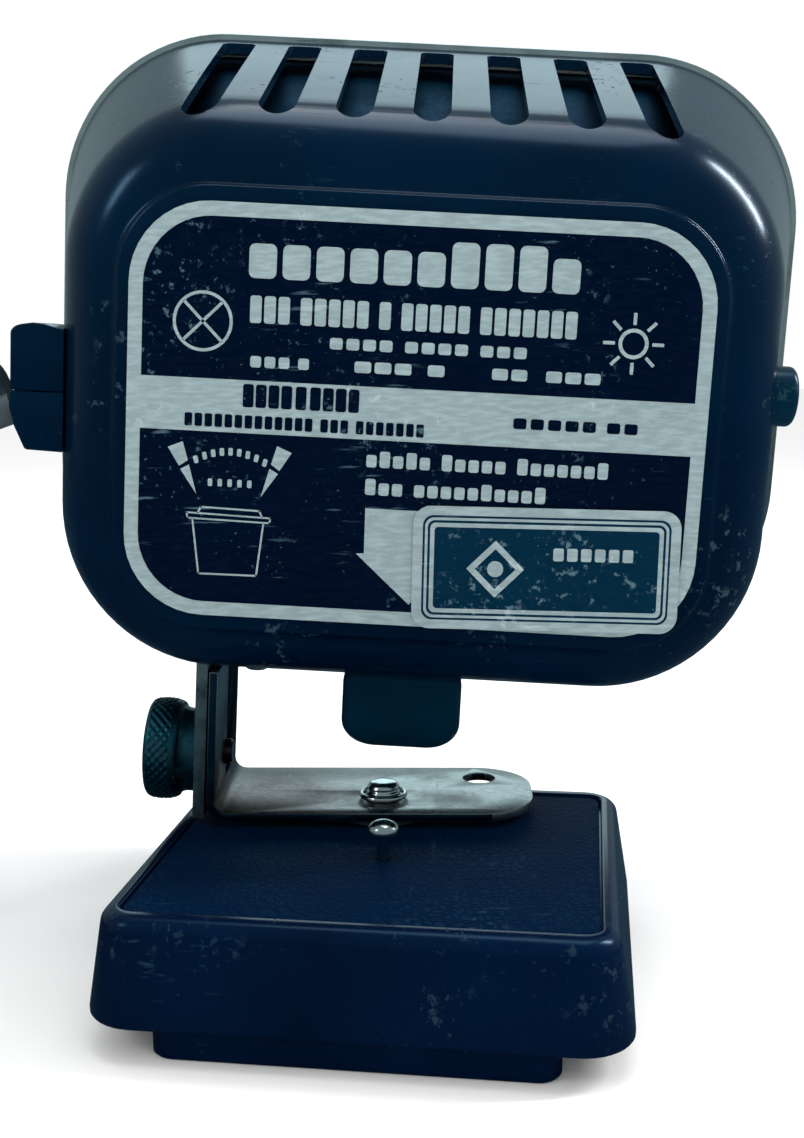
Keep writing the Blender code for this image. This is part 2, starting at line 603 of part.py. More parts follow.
top, bottom = BASE_TOP, BLOCK_BOTTOM
pad_bed = top - PAD_DEPTH - GAP
base_shell = skin(
    "base_shell",
    [block_ring(bottom, -2.4 * MM), block_ring(bottom + 9 * MM, -2.4 * MM),
     block_ring(bottom + 11 * MM, -4 * MM)][::-1]
    + [block_ring(bottom, -0.6 * MM), block_ring(bottom + 0.7 * MM), block_ring(top - 1.6 * MM),
       block_ring(top - 0.5 * MM, -0.4 * MM), block_ring(top, -1.3 * MM),
       base_ring(top, PAD_HALF_WIDTH + GAP, PAD_HALF_DEPTH + GAP, 2.5 * MM),
       base_ring(pad_bed, PAD_HALF_WIDTH + GAP, PAD_HALF_DEPTH + GAP, 2.5 * MM)],
    BLACK, BASE,
)
base_pad = skin(
    "base_pad",
    [base_ring(z, PAD_HALF_WIDTH, PAD_HALF_DEPTH, 2.3 * MM) for z in (top - PAD_DEPTH, top - 0.35 * MM)],
    GRAIN, BASE, smooth=False,
)
tripod_bore = rod("tripod_bore", (screw_x, screw_y, -5), 40, 3.4, cutter=True)
pin_bore = rod("pin_bore", (PIN_X / MM, PIN_Y / MM, 10), 20, 1.2, cutter=True, sides=20)
cut(base_shell, tripod_bore, pin_bore)
cut(base_pad, tripod_bore, pin_bore)

plate = TOP_HALF_WIDTH + SPLAY - 2.7 * MM, TOP_HALF_DEPTH + SPLAY - 2.7 * MM
foot_rings = [
    base_ring(z * MM, half_width, half_depth, corner * MM)
    for z, half_width, half_depth, corner in (
        (0.0, FOOT_HALF_WIDTH - 0.5 * MM, FOOT_HALF_DEPTH - 0.5 * MM, 3.0),
        (0.5, FOOT_HALF_WIDTH, FOOT_HALF_DEPTH, 3.5),
        (FOOT_TOP / MM, FOOT_HALF_WIDTH, FOOT_HALF_DEPTH, 3.5),
        (FOOT_TOP / MM, FOOT_HALF_WIDTH - 1.5 * MM, plate[1] - 0.6 * MM, 3.5),
        (5.3, FOOT_HALF_WIDTH - 1.5 * MM, plate[1] - 0.6 * MM, 3.5),
        (5.3, *plate, 5.9),
        (6.6, *plate, 5.9),
    )
]
base_foot = skin("base_foot", foot_rings, BLACK, BASE)
cut(base_foot, rod("knob_access", (screw_x, screw_y, -5), 20, 11.5, cutter=True, sides=40))
foot_screw_bores = [
    rod(f"foot_bore_{i}", (x, y, -5), 13.2, 1.7, parent=BASE, cutter=True, sides=20)
    for i, (x, y) in enumerate((x, y) for x in (-25, 25) for y in (-28, 28))
]
cut(base_foot, *foot_screw_bores)
cut(base_foot, *[
    rod(f"foot_recess_{i}", (x, y, -5), 7.6, 2.9, parent=BASE, cutter=True, sides=20)
    for i, (x, y) in enumerate((x, y) for x in (-25, 25) for y in (-28, 28))
])
for i, (x, y) in enumerate((x, y) for x in (-25, 25) for y in (-28, 28)):
    boss = rod(f"screw_boss_{i}", (x, y, 6.9), 10.4, 3.6, parent=BASE, cutter=True, sides=20)
    cut(boss, rod(f"boss_bore_{i}", (x, y, 0), 13, 1.6, parent=BASE, cutter=True, sides=20))
    join(base_shell, boss)
    turned(f"foot_screw_{i + 1}", [(0, 11.6), (1.3, 10.8), (1.3, 2.3), (2.5, 2.3), (2.5, 1.3), (1.9, 0.8), (0, 0.8)],
           (x, y, 0), paint=CHROME, parent=BASE, steps=16)

turned("arm_washer", [(3.7, 22.35), (8.2, 22.35), (8.2, 21.6), (3.7, 21.6), (3.7, 22.35)],
       (screw_x, screw_y, 0), paint=GRAIN)

# Tripod screw, with its knob under the base top and its free end through the bracket's arm
turned("tripod_screw",
       [(0, 27.3), (2.3, 27.25), (3.05, 26.6), (3.05, 14.6), (10.6, 14.6), (10.6, 7.6), (9.8, 6.9), (0, 6.9)],
       (screw_x, screw_y, 0), paint=CHROME)
turned("retaining_ring", [(3.45, 1.25), (4.1, 1.15), (4.35, 0.75), (4.35, 0.0), (3.45, 0.0), (3.45, 1.25)],
       (screw_x, screw_y, ARM_TOP / MM + 0.3), paint=CHROME)

# Locating pin, on a light spring
pin_x, pin_y = PIN_X / MM, PIN_Y / MM
turned("locating_pin",
       [(0, 28.1), (1.2, 27.9), (2.1, 27.2), (2.6, 26.2), (2.6, 25.8), (0.8, 25.5), (0.8, 15.7), (2.4, 15.7),
        (2.4, 14.6), (0.8, 14.6), (0.8, 10.8), (0, 10.8)],
       (pin_x, pin_y, 0), paint=CHROME, steps=24)
pin_spring_points = [
    (pin_x * MM + 1.6 * MM * math.cos(a), pin_y * MM + 1.6 * MM * math.sin(a),
     7.3 * MM + 6.5 * MM * a / (8 * math.pi))
    for a in np.linspace(0, 8 * math.pi, 49)
]
tube("pin_spring", pin_spring_points, 0.3 * MM, CHROME, resolution=1)

# ---------------------------------------------------------------- mains cord

exit_end = CORD_EXIT + CORD_WAY * RELIEF_LENGTH
relief = turned("strain_relief",
                [(0, 0), (5.2, 0), (5.5, -0.6), (5.4, -6), (4.7, -16), (4.4, -25), (0, -25)],
                (0, 0, 0), paint=CORD_GREY, steps=24)
relief.matrix_world = Matrix.Translation(CORD_EXIT) @ (-CORD_WAY).to_track_quat("Z", "Y").to_matrix().to_4x4()
tube("power_cord", smooth_curve(CORD_ROUTE, 2.6 * CORD_RADIUS), CORD_RADIUS, CORD_GREY, resolution=3)
inner, outer = COIL_INNER / MM, COIL_OUTER / MM
low, high = COIL_BOTTOM / MM, COIL_TOP / MM
coil = turned("cord_coil",
              [(inner, high - 2), (inner + 2, high), (outer - 2, high), (outer, high - 2), (outer, low + 2),
               (outer - 2, low), (inner + 2, low), (inner, low + 2), (inner, high - 2)],
              (COIL_X / MM, COIL_Y / MM, 0), paint=CORD_GREY, steps=40)


def tie_ring(grow, y):
    """The tie's outline round the coil's section, where the coil crosses the tie."""
    middle, half = (inner + outer) / 2 * MM, (outer - inner) / 2 * MM
    ring = rounded(half + grow, COIL_BOTTOM - grow, COIL_TOP + grow, 2 * MM, y, steps=4)
    return [p + Vector((middle, 0, 0)) for p in ring]


TIE_ANGLE = math.radians(40)
tie_frame = frame("tie_frame", (COIL_X, COIL_Y, 0), (0, 0, TIE_ANGLE))
tie_profile = [(0.35, -4), (0.35, 4), (1.15, 4), (1.15, -4)]
skin("cord_tie", [tie_ring(g * MM, y * MM) for g, y in tie_profile], BLACK, tie_frame, closed=True, smooth=False)

# Plug, lying on the coil, along it
plug_frame = frame("plug_frame", (COIL_X, COIL_Y, 0), (0, 0, PLUG_ANGLE))
plug_low, plug_radius = COIL_TOP / MM + 0.3, (inner + outer) / 2
box("plug_body", (plug_radius - 11, -14, plug_low), (plug_radius + 11, 16, plug_low + 15), BLACK, plug_frame,
    round_by=3)
for i, dx in enumerate((-6.35, 6.35)):
    box(f"plug_blade_{i + 1}", (plug_radius + dx - 0.75, -31, plug_low + 4.3),
        (plug_radius + dx + 0.75, -14.3, plug_low + 10.7), SPRING_BRASS, plug_frame)
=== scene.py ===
# %% [markdown]
# # A movie light of the Super 8 years
#
# The real thing is a quartz-halogen lamp in a black moulded housing. It sits on a bent steel
# bracket, which is screwed to a small black platform that a camera can stand on. The packed
# model is the fixed frame: it says where everything is and what moves. Each piece below goes
# over its CAD node in the same place, with finer edges, surface texture and colour.

# %% The frame
import math

import bmesh
import bpy
import numpy as np
from mathutils import Matrix, Vector


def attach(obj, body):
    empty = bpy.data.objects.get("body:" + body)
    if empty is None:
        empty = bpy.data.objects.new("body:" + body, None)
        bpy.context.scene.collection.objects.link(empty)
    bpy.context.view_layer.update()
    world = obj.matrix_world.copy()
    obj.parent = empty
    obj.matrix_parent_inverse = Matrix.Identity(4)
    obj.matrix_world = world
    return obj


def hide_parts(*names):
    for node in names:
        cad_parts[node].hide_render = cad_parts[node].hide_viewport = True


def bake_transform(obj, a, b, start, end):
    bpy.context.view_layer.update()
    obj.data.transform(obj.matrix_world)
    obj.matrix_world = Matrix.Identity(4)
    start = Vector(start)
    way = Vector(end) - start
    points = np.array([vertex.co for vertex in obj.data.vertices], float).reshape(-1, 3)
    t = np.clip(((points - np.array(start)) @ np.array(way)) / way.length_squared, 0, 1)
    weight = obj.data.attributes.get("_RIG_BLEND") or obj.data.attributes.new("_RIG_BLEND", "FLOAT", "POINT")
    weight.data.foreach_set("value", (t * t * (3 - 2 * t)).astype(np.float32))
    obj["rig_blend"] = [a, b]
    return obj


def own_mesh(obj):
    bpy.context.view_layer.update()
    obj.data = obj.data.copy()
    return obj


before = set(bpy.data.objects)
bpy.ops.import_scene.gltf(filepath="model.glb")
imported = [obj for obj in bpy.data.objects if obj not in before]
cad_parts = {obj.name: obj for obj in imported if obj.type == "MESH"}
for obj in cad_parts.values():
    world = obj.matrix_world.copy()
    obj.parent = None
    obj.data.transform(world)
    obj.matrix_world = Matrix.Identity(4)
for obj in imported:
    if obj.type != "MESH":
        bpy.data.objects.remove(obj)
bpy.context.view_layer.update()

# %% [markdown]
# ## Where the lamp head sits
#
# The bracket's leg is a little bent, so the head leans 3.26 degrees to the right. Its pieces
# are easiest to draw square, in millimetres from the middle of the label. One function then
# turns whole arrays of points into the row frame, so no object carries a turn of its own. The
# platform is turned under the bracket in the same way, about the upright axis.

# %% Two ways into the row frame
HEAD_ORIGIN = np.array([5.5, 0.0, 92.8])
LEAN = math.radians(3.26)
BASE_TURN = math.radians(-6.5)


def turned(x, y, angle):
    """Two coordinates turned anticlockwise by an angle."""
    c, s = math.cos(angle), math.sin(angle)
    return x * c - y * s, x * s + y * c


def in_head(points):
    """Head points in mm to the row frame in metres: a turn by the lean about +Y, then a shift."""
    p = np.asarray(points, float)
    x, z = turned(p[..., 0], p[..., 2], -LEAN)
    return (np.stack([x, p[..., 1], z], -1) + HEAD_ORIGIN) / 1000


def in_base(points):
    """Platform points in mm to the row frame in metres: a turn about +Z."""
    p = np.asarray(points, float)
    return np.stack([*turned(p[..., 0], p[..., 1], BASE_TURN), p[..., 2]], -1) / 1000


def as_drawn(points):
    """Points that are already in the row frame, mm to metres."""
    return np.asarray(points, float) / 1000


print("label middle, metres:", in_head([0, 0, 0]).round(4))

# %% [markdown]
# ## Camera, light and floor
#
# A product like this is shown on white, from just above the label's height. The camera is a
# longish lens at about 22 cm. A white surround lights it softly. In mirror images the surround
# and the floor are darker, as in a room around a small light tent, so the glossy black stays
# black and the chrome keeps its contrast. A wide lamp behind brightens the sloping roof, and
# three smaller ones add the sharper streaks.

# %% Camera
camera_data = bpy.data.cameras.new("camera")
camera_data.sensor_fit = "HORIZONTAL"
camera_data.sensor_width = 36
camera_data.lens = 61.99
camera_data.clip_start = 0.01
camera = bpy.data.objects.new("camera", camera_data)
bpy.context.scene.collection.objects.link(camera)
YAW, PITCH, ROLL = math.radians(1.31), math.radians(9.22), math.radians(-0.32)
look = Vector((-math.sin(YAW) * math.cos(PITCH), math.cos(YAW) * math.cos(PITCH), -math.sin(PITCH)))
level_right = Vector((math.cos(YAW), math.sin(YAW), 0))
level_up = level_right.cross(look)
right = level_right * math.cos(ROLL) + level_up * math.sin(ROLL)
up = level_up * math.cos(ROLL) - level_right * math.sin(ROLL)
camera.matrix_world = Matrix.Translation((0.00832, -0.22337, 0.1054)) @ Matrix(
    (right, up, -look)).transposed().to_4x4()
bpy.context.scene.camera = camera
print("camera at", tuple(round(c, 4) for c in camera.location))

# %% Surround, lamps and floor
bpy.context.scene.view_settings.view_transform = "Standard"


def seen_and_mirrored(tree, seen, mirrored, out):
    """Link a mix of two shaders: one for the camera and soft light, one for mirror images."""
    path, mix = tree.nodes.new("ShaderNodeLightPath"), tree.nodes.new("ShaderNodeMixShader")
    tree.links.new(path.outputs["Is Glossy Ray"], mix.inputs[0])
    tree.links.new(seen.outputs[0], mix.inputs[1])
    tree.links.new(mirrored.outputs[0], mix.inputs[2])
    tree.links.new(mix.outputs[0], out.inputs["Surface"])


WHITE, COOL = (1, 1, 1), (0.70, 0.93, 1.0)
world = bpy.data.worlds.new("white_surround")
world.use_nodes = True
backdrop = world.node_tree.nodes["Background"]
darker_room = world.node_tree.nodes.new("ShaderNodeBackground")
for room, strength, colour in ((backdrop, 1.0, WHITE), (darker_room, 0.38, COOL)):
    room.inputs["Strength"].default_value = strength
    room.inputs["Color"].default_value = (*colour, 1)
seen_and_mirrored(world.node_tree, backdrop, darker_room, world.node_tree.nodes["World Output"])
bpy.context.scene.world = world


def area_lamp(name, place, target, size, power, colour=WHITE):
    """A rectangular area lamp at a place, turned towards a target."""
    data = bpy.data.lights.new(name, "AREA")
    data.shape = "RECTANGLE"
    data.size, data.size_y = size
    data.energy = power
    data.color = colour
    lamp = bpy.data.objects.new(name, data)
    bpy.context.scene.collection.objects.link(lamp)
    lamp.location = place
    lamp.rotation_euler = (Vector(target) - Vector(place)).to_track_quat("-Z", "Y").to_euler()


area_lamp("overhead_softbox", (0.05, 0.10, 0.75), (0, 0.02, 0.08), (0.5, 0.35), 2.0)
area_lamp("roof_glow", (0.0, 0.80, 0.42), (0.0, 0.03, 0.15), (0.5, 0.5), 1.2, COOL)
area_lamp("right_strip", (0.55, 0.10, 0.50), (0.03, 0.0, 0.12), (0.03, 0.30), 3.0)
area_lamp("left_window", (-0.60, -0.35, 0.55), (0.0, 0.0, 0.10), (0.10, 0.20), 0.8)

# %% [markdown]
# ## Surfaces from grids of points
#
# Nearly every piece is one closed surface over a grid: one direction runs round an outline,
# the other runs along the piece. The grid is worked out as an array and put into the mesh in
# one go. Booleans then cut the few slots and holes.


# %% Grid helpers
def surface(name, grid, wrap=True, loop=False, caps=True, sharp=35):
    """A mesh over a grid of points in metres, rows by columns by 3. wrap joins the last column
    to the first, loop joins the last row to the first, and caps closes the two end rows."""
    rows, columns = grid.shape[:2]
    index = np.arange(rows * columns).reshape(rows, columns)
    closed = np.concatenate([index, index[:, :1]], 1) if wrap else index
    if loop:
        closed = np.concatenate([closed, closed[:1]], 0)
    quads = np.stack([closed[:-1, :-1], closed[:-1, 1:], closed[1:, 1:], closed[1:, :-1]], -1)
    faces = quads.reshape(-1, 4).tolist()
    if caps and not loop:
        faces += [index[0, ::-1].tolist(), index[-1].tolist()]
    mesh = bpy.data.meshes.new(name)
    mesh.from_pydata(grid.reshape(-1, 3), [], faces)
    return finished(name, mesh, sharp)


def smoothed(mesh, sharp):
    """Shade a mesh smooth, apart from edges sharper than an angle."""
    mesh.shade_smooth()
    mesh.set_sharp_from_angle(angle=math.radians(sharp))


def finished(name, mesh, sharp=35):
    """An object of a mesh, its doubles merged, its faces pointing out and its curves smooth."""
    work = bmesh.new()
    work.from_mesh(mesh)
    bmesh.ops.remove_doubles(work, verts=work.verts, dist=1e-7)
    bmesh.ops.recalc_face_normals(work, faces=work.faces)
    work.to_mesh(mesh)
    work.free()
    smoothed(mesh, sharp)
    obj = bpy.data.objects.new(name, mesh)
    bpy.context.scene.collection.objects.link(obj)
    return obj


def applied(obj):
    """The object with its modifiers worked into its mesh."""
    bpy.context.view_layer.update()
    ready = obj.evaluated_get(bpy.context.evaluated_depsgraph_get())
    mesh = bpy.data.meshes.new_from_object(ready)
    obj.modifiers.clear()
    obj.data = mesh
    return obj


def carved(obj, cutters, sharp=35):
    """The object less its cutters, which are then removed."""
    for cutter in cutters:
        change = obj.modifiers.new("cut", "BOOLEAN")
        change.operation, change.solver, change.object = "DIFFERENCE", "EXACT", cutter
    applied(obj)
    for cutter in cutters:
        bpy.data.objects.remove(cutter)
    smoothed(obj.data, sharp)
    return obj


def softened(obj, width, segments=2, angle=30):
    """The object with its sharp edges rounded by width in mm."""
    bevel = obj.modifiers.new("edge", "BEVEL")
    bevel.width, bevel.segments = width / 1000, segments
    bevel.limit_method, bevel.angle_limit = "ANGLE", math.radians(angle)
    return applied(obj)


def fitted(obj, finish, body, *nodes):
    """The object with its finish, over its CAD nodes if it has any, on its body."""
    obj.data.materials.append(finish)
    if nodes:
        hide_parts(*nodes)
    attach(obj, body)
    return obj


def outline(half_width, low, high, corner, steps=14):
    """Rounded rectangles, one row each, anticlockwise: four quarter circles of the corner's
    radius, joined by straight sides. Sizes may be arrays. Gives (rows, points, 2)."""
    half_width, low, high, corner = (np.atleast_1d(np.asarray(v, float)) for v in
                                     np.broadcast_arrays(half_width, low, high, corner))
    quarter = np.radians(np.linspace(0, 90, steps + 1))
    angle = (quarter + np.radians([[0], [90], [180], [270]])).ravel()
    side = np.repeat([1, -1, -1, 1], steps + 1)
    level = np.repeat([1, 1, 0, 0], steps + 1)
    x = side * (half_width - corner)[:, None] + corner[:, None] * np.cos(angle)
    z = np.where(level, (high - corner)[:, None], (low + corner)[:, None]) + corner[:, None] * np.sin(angle)
    return np.stack([x, z], -1)


def upright(flat, y):
    """Outlines in x and z, set up at depths y, one for each row."""
    y = np.broadcast_to(np.asarray(y, float)[:, None], flat.shape[:2])
    return np.stack([flat[..., 0], y, flat[..., 1]], -1)


def lying(flat, z):
    """Outlines in x and y, laid at heights z, one for each row."""
    z = np.broadcast_to(np.asarray(z, float)[:, None], flat.shape[:2])
    return np.stack([flat[..., 0], flat[..., 1], z], -1)


def full_turn(steps):
    """Angles an even way apart, once round."""
    return np.linspace(0, 2 * math.pi, steps, endpoint=False)


def ring_round(axis, steps):
    """The axis at unit length, and the directions round it, one for each step."""
    axis = np.asarray(axis, float) / np.linalg.norm(axis)
    aside = np.cross(axis, [0.0, 1.0, 0.0] if abs(axis[1]) < 0.9 else [1.0, 0.0, 0.0])
    aside /= np.linalg.norm(aside)
    turn = full_turn(steps)[:, None]
    return axis, np.cos(turn) * aside + np.sin(turn) * np.cross(axis, aside)


def lathe(profile, middle, axis, steps=64):
    """A profile of (radius, height) in mm turned about an axis through middle: each row is a
    circle of that radius, set at that height along the axis."""
    profile = np.asarray(profile, float)[:, None]
    axis, ring = ring_round(axis, steps)
    return np.asarray(middle, float) + profile[..., 1:] * axis + profile[..., :1] * ring


def block(low, high, place=as_drawn):
    """A cutter's box between two corners in mm."""
    low, high = np.asarray(low, float), np.asarray(high, float)
    flat = np.array([[low[0], low[1]], [high[0], low[1]], [high[0], high[1]], [low[0], high[1]]])
    return surface("cutter", place(lying(np.stack([flat, flat]), [low[2], high[2]])))


def pin(start, end, radius, place=as_drawn, steps=32):
    """A cutter's cylinder from start to end in mm."""
    start, end = np.asarray(start, float), np.asarray(end, float)
    length = np.linalg.norm(end - start)
    return surface("cutter", place(lathe([(radius, 0), (radius, length)], start, end - start, steps)))


def quarter_turn(steps):
    """Angles an even way apart from 0 to 90 degrees."""
    return np.radians(np.linspace(0, 90, steps))


print("grid helpers ready")

# %% [markdown]
# ## Effects that several finishes share
#
# Glossy black moulding, foil and chrome all pick up fine scratches, specks and a breath of
# dust. Each effect is one node group that gives a mask, so that every material can use it at
# its own scale and strength.


# %% Node groups
def group(name, numbers, outputs):
    """An empty shader group with number inputs and mask outputs, and its two end nodes."""
    tree = bpy.data.node_groups.new(name, "ShaderNodeTree")
    for label, value in numbers.items():
        socket = tree.interface.new_socket(label, in_out="INPUT", socket_type="NodeSocketFloat")
        socket.default_value = value
    for label in outputs:
        tree.interface.new_socket(label, in_out="OUTPUT", socket_type="NodeSocketFloat")
    return tree, tree.nodes.new("NodeGroupInput"), tree.nodes.new("NodeGroupOutput")


def feed(tree, socket, value):
    """Link a (node, output) pair to a socket, or set the socket to a plain value."""
    if isinstance(value, tuple) and hasattr(value[0], "outputs"):
        tree.links.new(value[0].outputs[value[1]], socket)
    else:
        socket.default_value = value


def node(tree, kind, **inputs):
    """A node with its inputs fed by name."""
    made = tree.nodes.new(kind)
    for key, value in inputs.items():
        feed(tree, made.inputs[key.replace("_", " ")], value)
    return made


def math_node(tree, operation, a, b, c=None):
    """A Math node of two or three inputs."""
    made = tree.nodes.new("ShaderNodeMath")
    made.operation = operation
    for i, value in enumerate((a, b) if c is None else (a, b, c)):
        feed(tree, made.inputs[i], value)
    return made


def ramp(tree, source, low, high):
    """A mask that goes from 0 to 1 as the source goes from low to high."""
    return node(tree, "ShaderNodeMapRange", Value=source, From_Min=low, From_Max=high)


def scuff_group():
    """Fine scratches: noise stretched thin along two directions, kept where it peaks, and only
    inside larger worn patches."""
    tree, start, end = group("scuffs", {"Scale": 60.0, "Spread": 0.5}, ["Mask"])
    place = node(tree, "ShaderNodeTexCoord")
    masks = []
    for turn, stretch in ((0.6, (1.0, 14.0, 9.0)), (-0.9, (11.0, 1.0, 13.0))):
        mapping = node(tree, "ShaderNodeMapping", Vector=(place, "Object"), Rotation=(turn, 0.4 * turn, turn),
                       Scale=stretch)
        noise = node(tree, "ShaderNodeTexNoise", Vector=(mapping, "Vector"), Scale=(start, "Scale"), Detail=3.0)
        masks.append(ramp(tree, (noise, "Fac"), 0.66, 0.74))
    patch = node(tree, "ShaderNodeTexNoise", Vector=(place, "Object"), Scale=45.0, Detail=4.0)
    soft = math_node(tree, "SUBTRACT", (patch, "Fac"), (start, "Spread"))
    softer = ramp(tree, (soft, "Value"), 0.0, 0.12)
    both = math_node(tree, "MAXIMUM", (masks[0], "Result"), (masks[1], "Result"))
    out = math_node(tree, "MULTIPLY", (both, "Value"), (softer, "Result"))
    tree.links.new(out.outputs[0], end.inputs["Mask"])
    return tree


def speck_group():
    """Chips and crumbs of dirt: rough noise kept where it peaks, and only where a broader noise
    is high."""
    tree, start, end = group("specks", {"Scale": 300.0, "Cover": 0.6}, ["Mask"])
    place = node(tree, "ShaderNodeTexCoord")
    warp = node(tree, "ShaderNodeTexNoise", Vector=(place, "Object"), Scale=(start, "Scale"), Detail=5.0,
                Roughness=0.7)
    patch = node(tree, "ShaderNodeTexNoise", Vector=(place, "Object"), Scale=38.0, Detail=3.0)
    grainy = ramp(tree, (warp, "Fac"), 0.58, 0.64)
    over = math_node(tree, "SUBTRACT", (patch, "Fac"), (start, "Cover"))
    patchy = ramp(tree, (over, "Value"), 0.0, 0.06)
    out = math_node(tree, "MULTIPLY", (grainy, "Result"), (patchy, "Result"))
    tree.links.new(out.outputs[0], end.inputs["Mask"])
    return tree


def grain_group():
    """Leather grain as a height: cells with grooves between them, and a finer noise on top."""
    tree, start, end = group("leather_grain", {"Scale": 900.0}, ["Height"])
    place = node(tree, "ShaderNodeTexCoord")
    stretch = node(tree, "ShaderNodeMapping", Vector=(place, "Object"), Scale=(1.0, 0.75, 1.0))
    cells = node(tree, "ShaderNodeTexVoronoi", Vector=(stretch, "Vector"), Scale=(start, "Scale"))
    cells.feature = "DISTANCE_TO_EDGE"
    ridge = ramp(tree, (cells, "Distance"), 0.0, 0.22)
    fine = node(tree, "ShaderNodeTexNoise", Vector=(place, "Object"), Scale=2400.0, Detail=2.0)
    out = math_node(tree, "MULTIPLY_ADD", (fine, "Fac"), 0.35, (ridge, "Result"))
    tree.links.new(out.outputs[0], end.inputs["Height"])
    return tree


SCUFFS, SPECKS, GRAIN = scuff_group(), speck_group(), grain_group()
print("node groups:", [g.name for g in bpy.data.node_groups])


# %% Building a material
def use(tree, shared, **values):
    """One of the shared groups placed in a material's tree."""
    made = tree.nodes.new("ShaderNodeGroup")
    made.node_tree = shared
    for key, value in values.items():
        made.inputs[key].default_value = value
    return made


def blend_colour(tree, mask, a, b):
    """A colour that goes from a to b with a mask. a may be a node's output."""
    made = tree.nodes.new("ShaderNodeMix")
    made.data_type = "RGBA"
    feed(tree, made.inputs[0], mask)
    for slot, value in ((6, a), (7, b)):
        feed(tree, made.inputs[slot], value if hasattr(value[0], "outputs") else (*value, 1))
    return made


def material(name, metallic=0.0, **sockets):
    """A material and its tree, shader and texture place, with the plain sockets set."""
    made = bpy.data.materials.new(name)
    made.use_nodes = True
    tree = made.node_tree
    shader = tree.nodes["Principled BSDF"]
    shader.inputs["Metallic"].default_value = metallic
    for key, value in sockets.items():
        shader.inputs[key.replace("_", " ")].default_value = value
    return made, tree, shader


def noise(tree, scale, detail=4.0, stretch=(1, 1, 1)):
    """Noise on object coordinates."""
    place = node(tree, "ShaderNodeTexCoord")
    mapping = node(tree, "ShaderNodeMapping", Vector=(place, "Object"), Scale=stretch)
    return node(tree, "ShaderNodeTexNoise", Vector=(mapping, "Vector"), Scale=scale, Detail=detail)


def mottle_of(tree, scale, detail, low, high):
    """Noise as a mask: 0 below low, 1 above high."""
    return ramp(tree, (noise(tree, scale, detail), "Fac"), low, high)


def bump(tree, shader, height, distance, strength, onto=None):
    """A bump of a height mask on the shader's normal."""
    made = node(tree, "ShaderNodeBump", Distance=distance, Strength=strength, Height=height)
    if onto:
        tree.links.new(onto.outputs["Normal"], made.inputs["Normal"])
    tree.links.new(made.outputs["Normal"], shader.inputs["Normal"])
    return made


def finish_with(tree, shader, colour, rough_low, rough_high, rough_mask):
    """Link a colour, and a roughness that goes from low to high with a mask."""
    tree.links.new(colour.outputs[2], shader.inputs["Base Color"])
    made = node(tree, "ShaderNodeMapRange", To_Min=rough_low, To_Max=rough_high, Value=rough_mask)
    tree.links.new(made.outputs["Result"], shader.inputs["Roughness"])


# %% [markdown]
# ## The black moulding
#
# The housing and platform are a thick glossy thermoset. Against the light it reads as a very
# dark navy, with teal in its soft reflections. It has faint scratches, a little dust in
# patches, and a slow unevenness that makes its highlights swim.


# %% Black moulding
def black_moulding(name, rough=0.2, dust=0.5, deep=(0.0001, 0.0046, 0.016), pale=(0.0002, 0.0080, 0.025)):
    """Glossy black plastic: slow mottling, scratches, specks and a rippled surface."""
    made, tree, shader = material(name, Specular_IOR_Level=0.40, Specular_Tint=(0.10, 0.32, 0.55, 1))
    mottle = mottle_of(tree, 26.0, 3.0, 0.35, 0.68)
    base = blend_colour(tree, (mottle, "Result"), deep, pale)
    scuffs = use(tree, SCUFFS, Scale=85.0, Spread=0.50)
    specks = use(tree, SPECKS, Scale=420.0, Cover=0.56)
    scratched = blend_colour(tree, (scuffs, "Mask"), (base, 2), (0.006, 0.025, 0.05))
    dusty = math_node(tree, "MULTIPLY", (specks, "Mask"), dust * 0.5)
    colour = blend_colour(tree, (dusty, "Value"), (scratched, 2), (0.10, 0.18, 0.22))
    marks = math_node(tree, "MAXIMUM", (scuffs, "Mask"), (specks, "Mask"))
    finish_with(tree, shader, colour, rough, rough + 0.3, (marks, "Value"))
    ripple = noise(tree, 120.0, 2.0)
    slow = bump(tree, shader, (ripple, "Fac"), 0.00004, 0.5)
    bump(tree, shader, (marks, "Value"), -0.00002, 0.6, onto=slow)
    return made


MOULDING = black_moulding("glossy_black_moulding")
MOULDING_BASE = black_moulding("platform_black_moulding", 0.24, 0.25, (0.0001, 0.0030, 0.015),
                               (0.0001, 0.0055, 0.025))
print("materials:", MOULDING.name, MOULDING_BASE.name)

# %% [markdown]
# ## The mains cord
#
# A flat twin cord leaves the clamp, sags to the table and lies in a flat round coil. Cords
# come early in the script, because their length decides how much room the model takes. This
# one has two round cores side by side in one jacket, so its section is a figure of eight,
# carried along the path with its wide way held upright. The upper core is painted darker than
# the lower one, as painted shade.

# %% The cord's path
CORD_WIDTH, CORE_RADIUS, CORE_ASIDE = 8.5, 2.4, 1.85
ROUTE = np.array([
    [-64.6, 15.5, 97.7], [-71.5, 15.5, 94.9], [-79.5, 15.5, 90.0], [-88.5, 15.5, 83.6], [-98.5, 14.0, 78.0],
    [-107.0, 9.5, 68.5], [-113.0, 2.5, 57.0], [-117.5, -7.5, 44.5], [-121.0, -17.0, 34.0],
    [-125.0, -25.0, 27.2], [-130.2, -31.0, 24.0], [-136.5, -35.2, 23.1]])
COIL_MIDDLE = np.array([-152.0, 12.0])


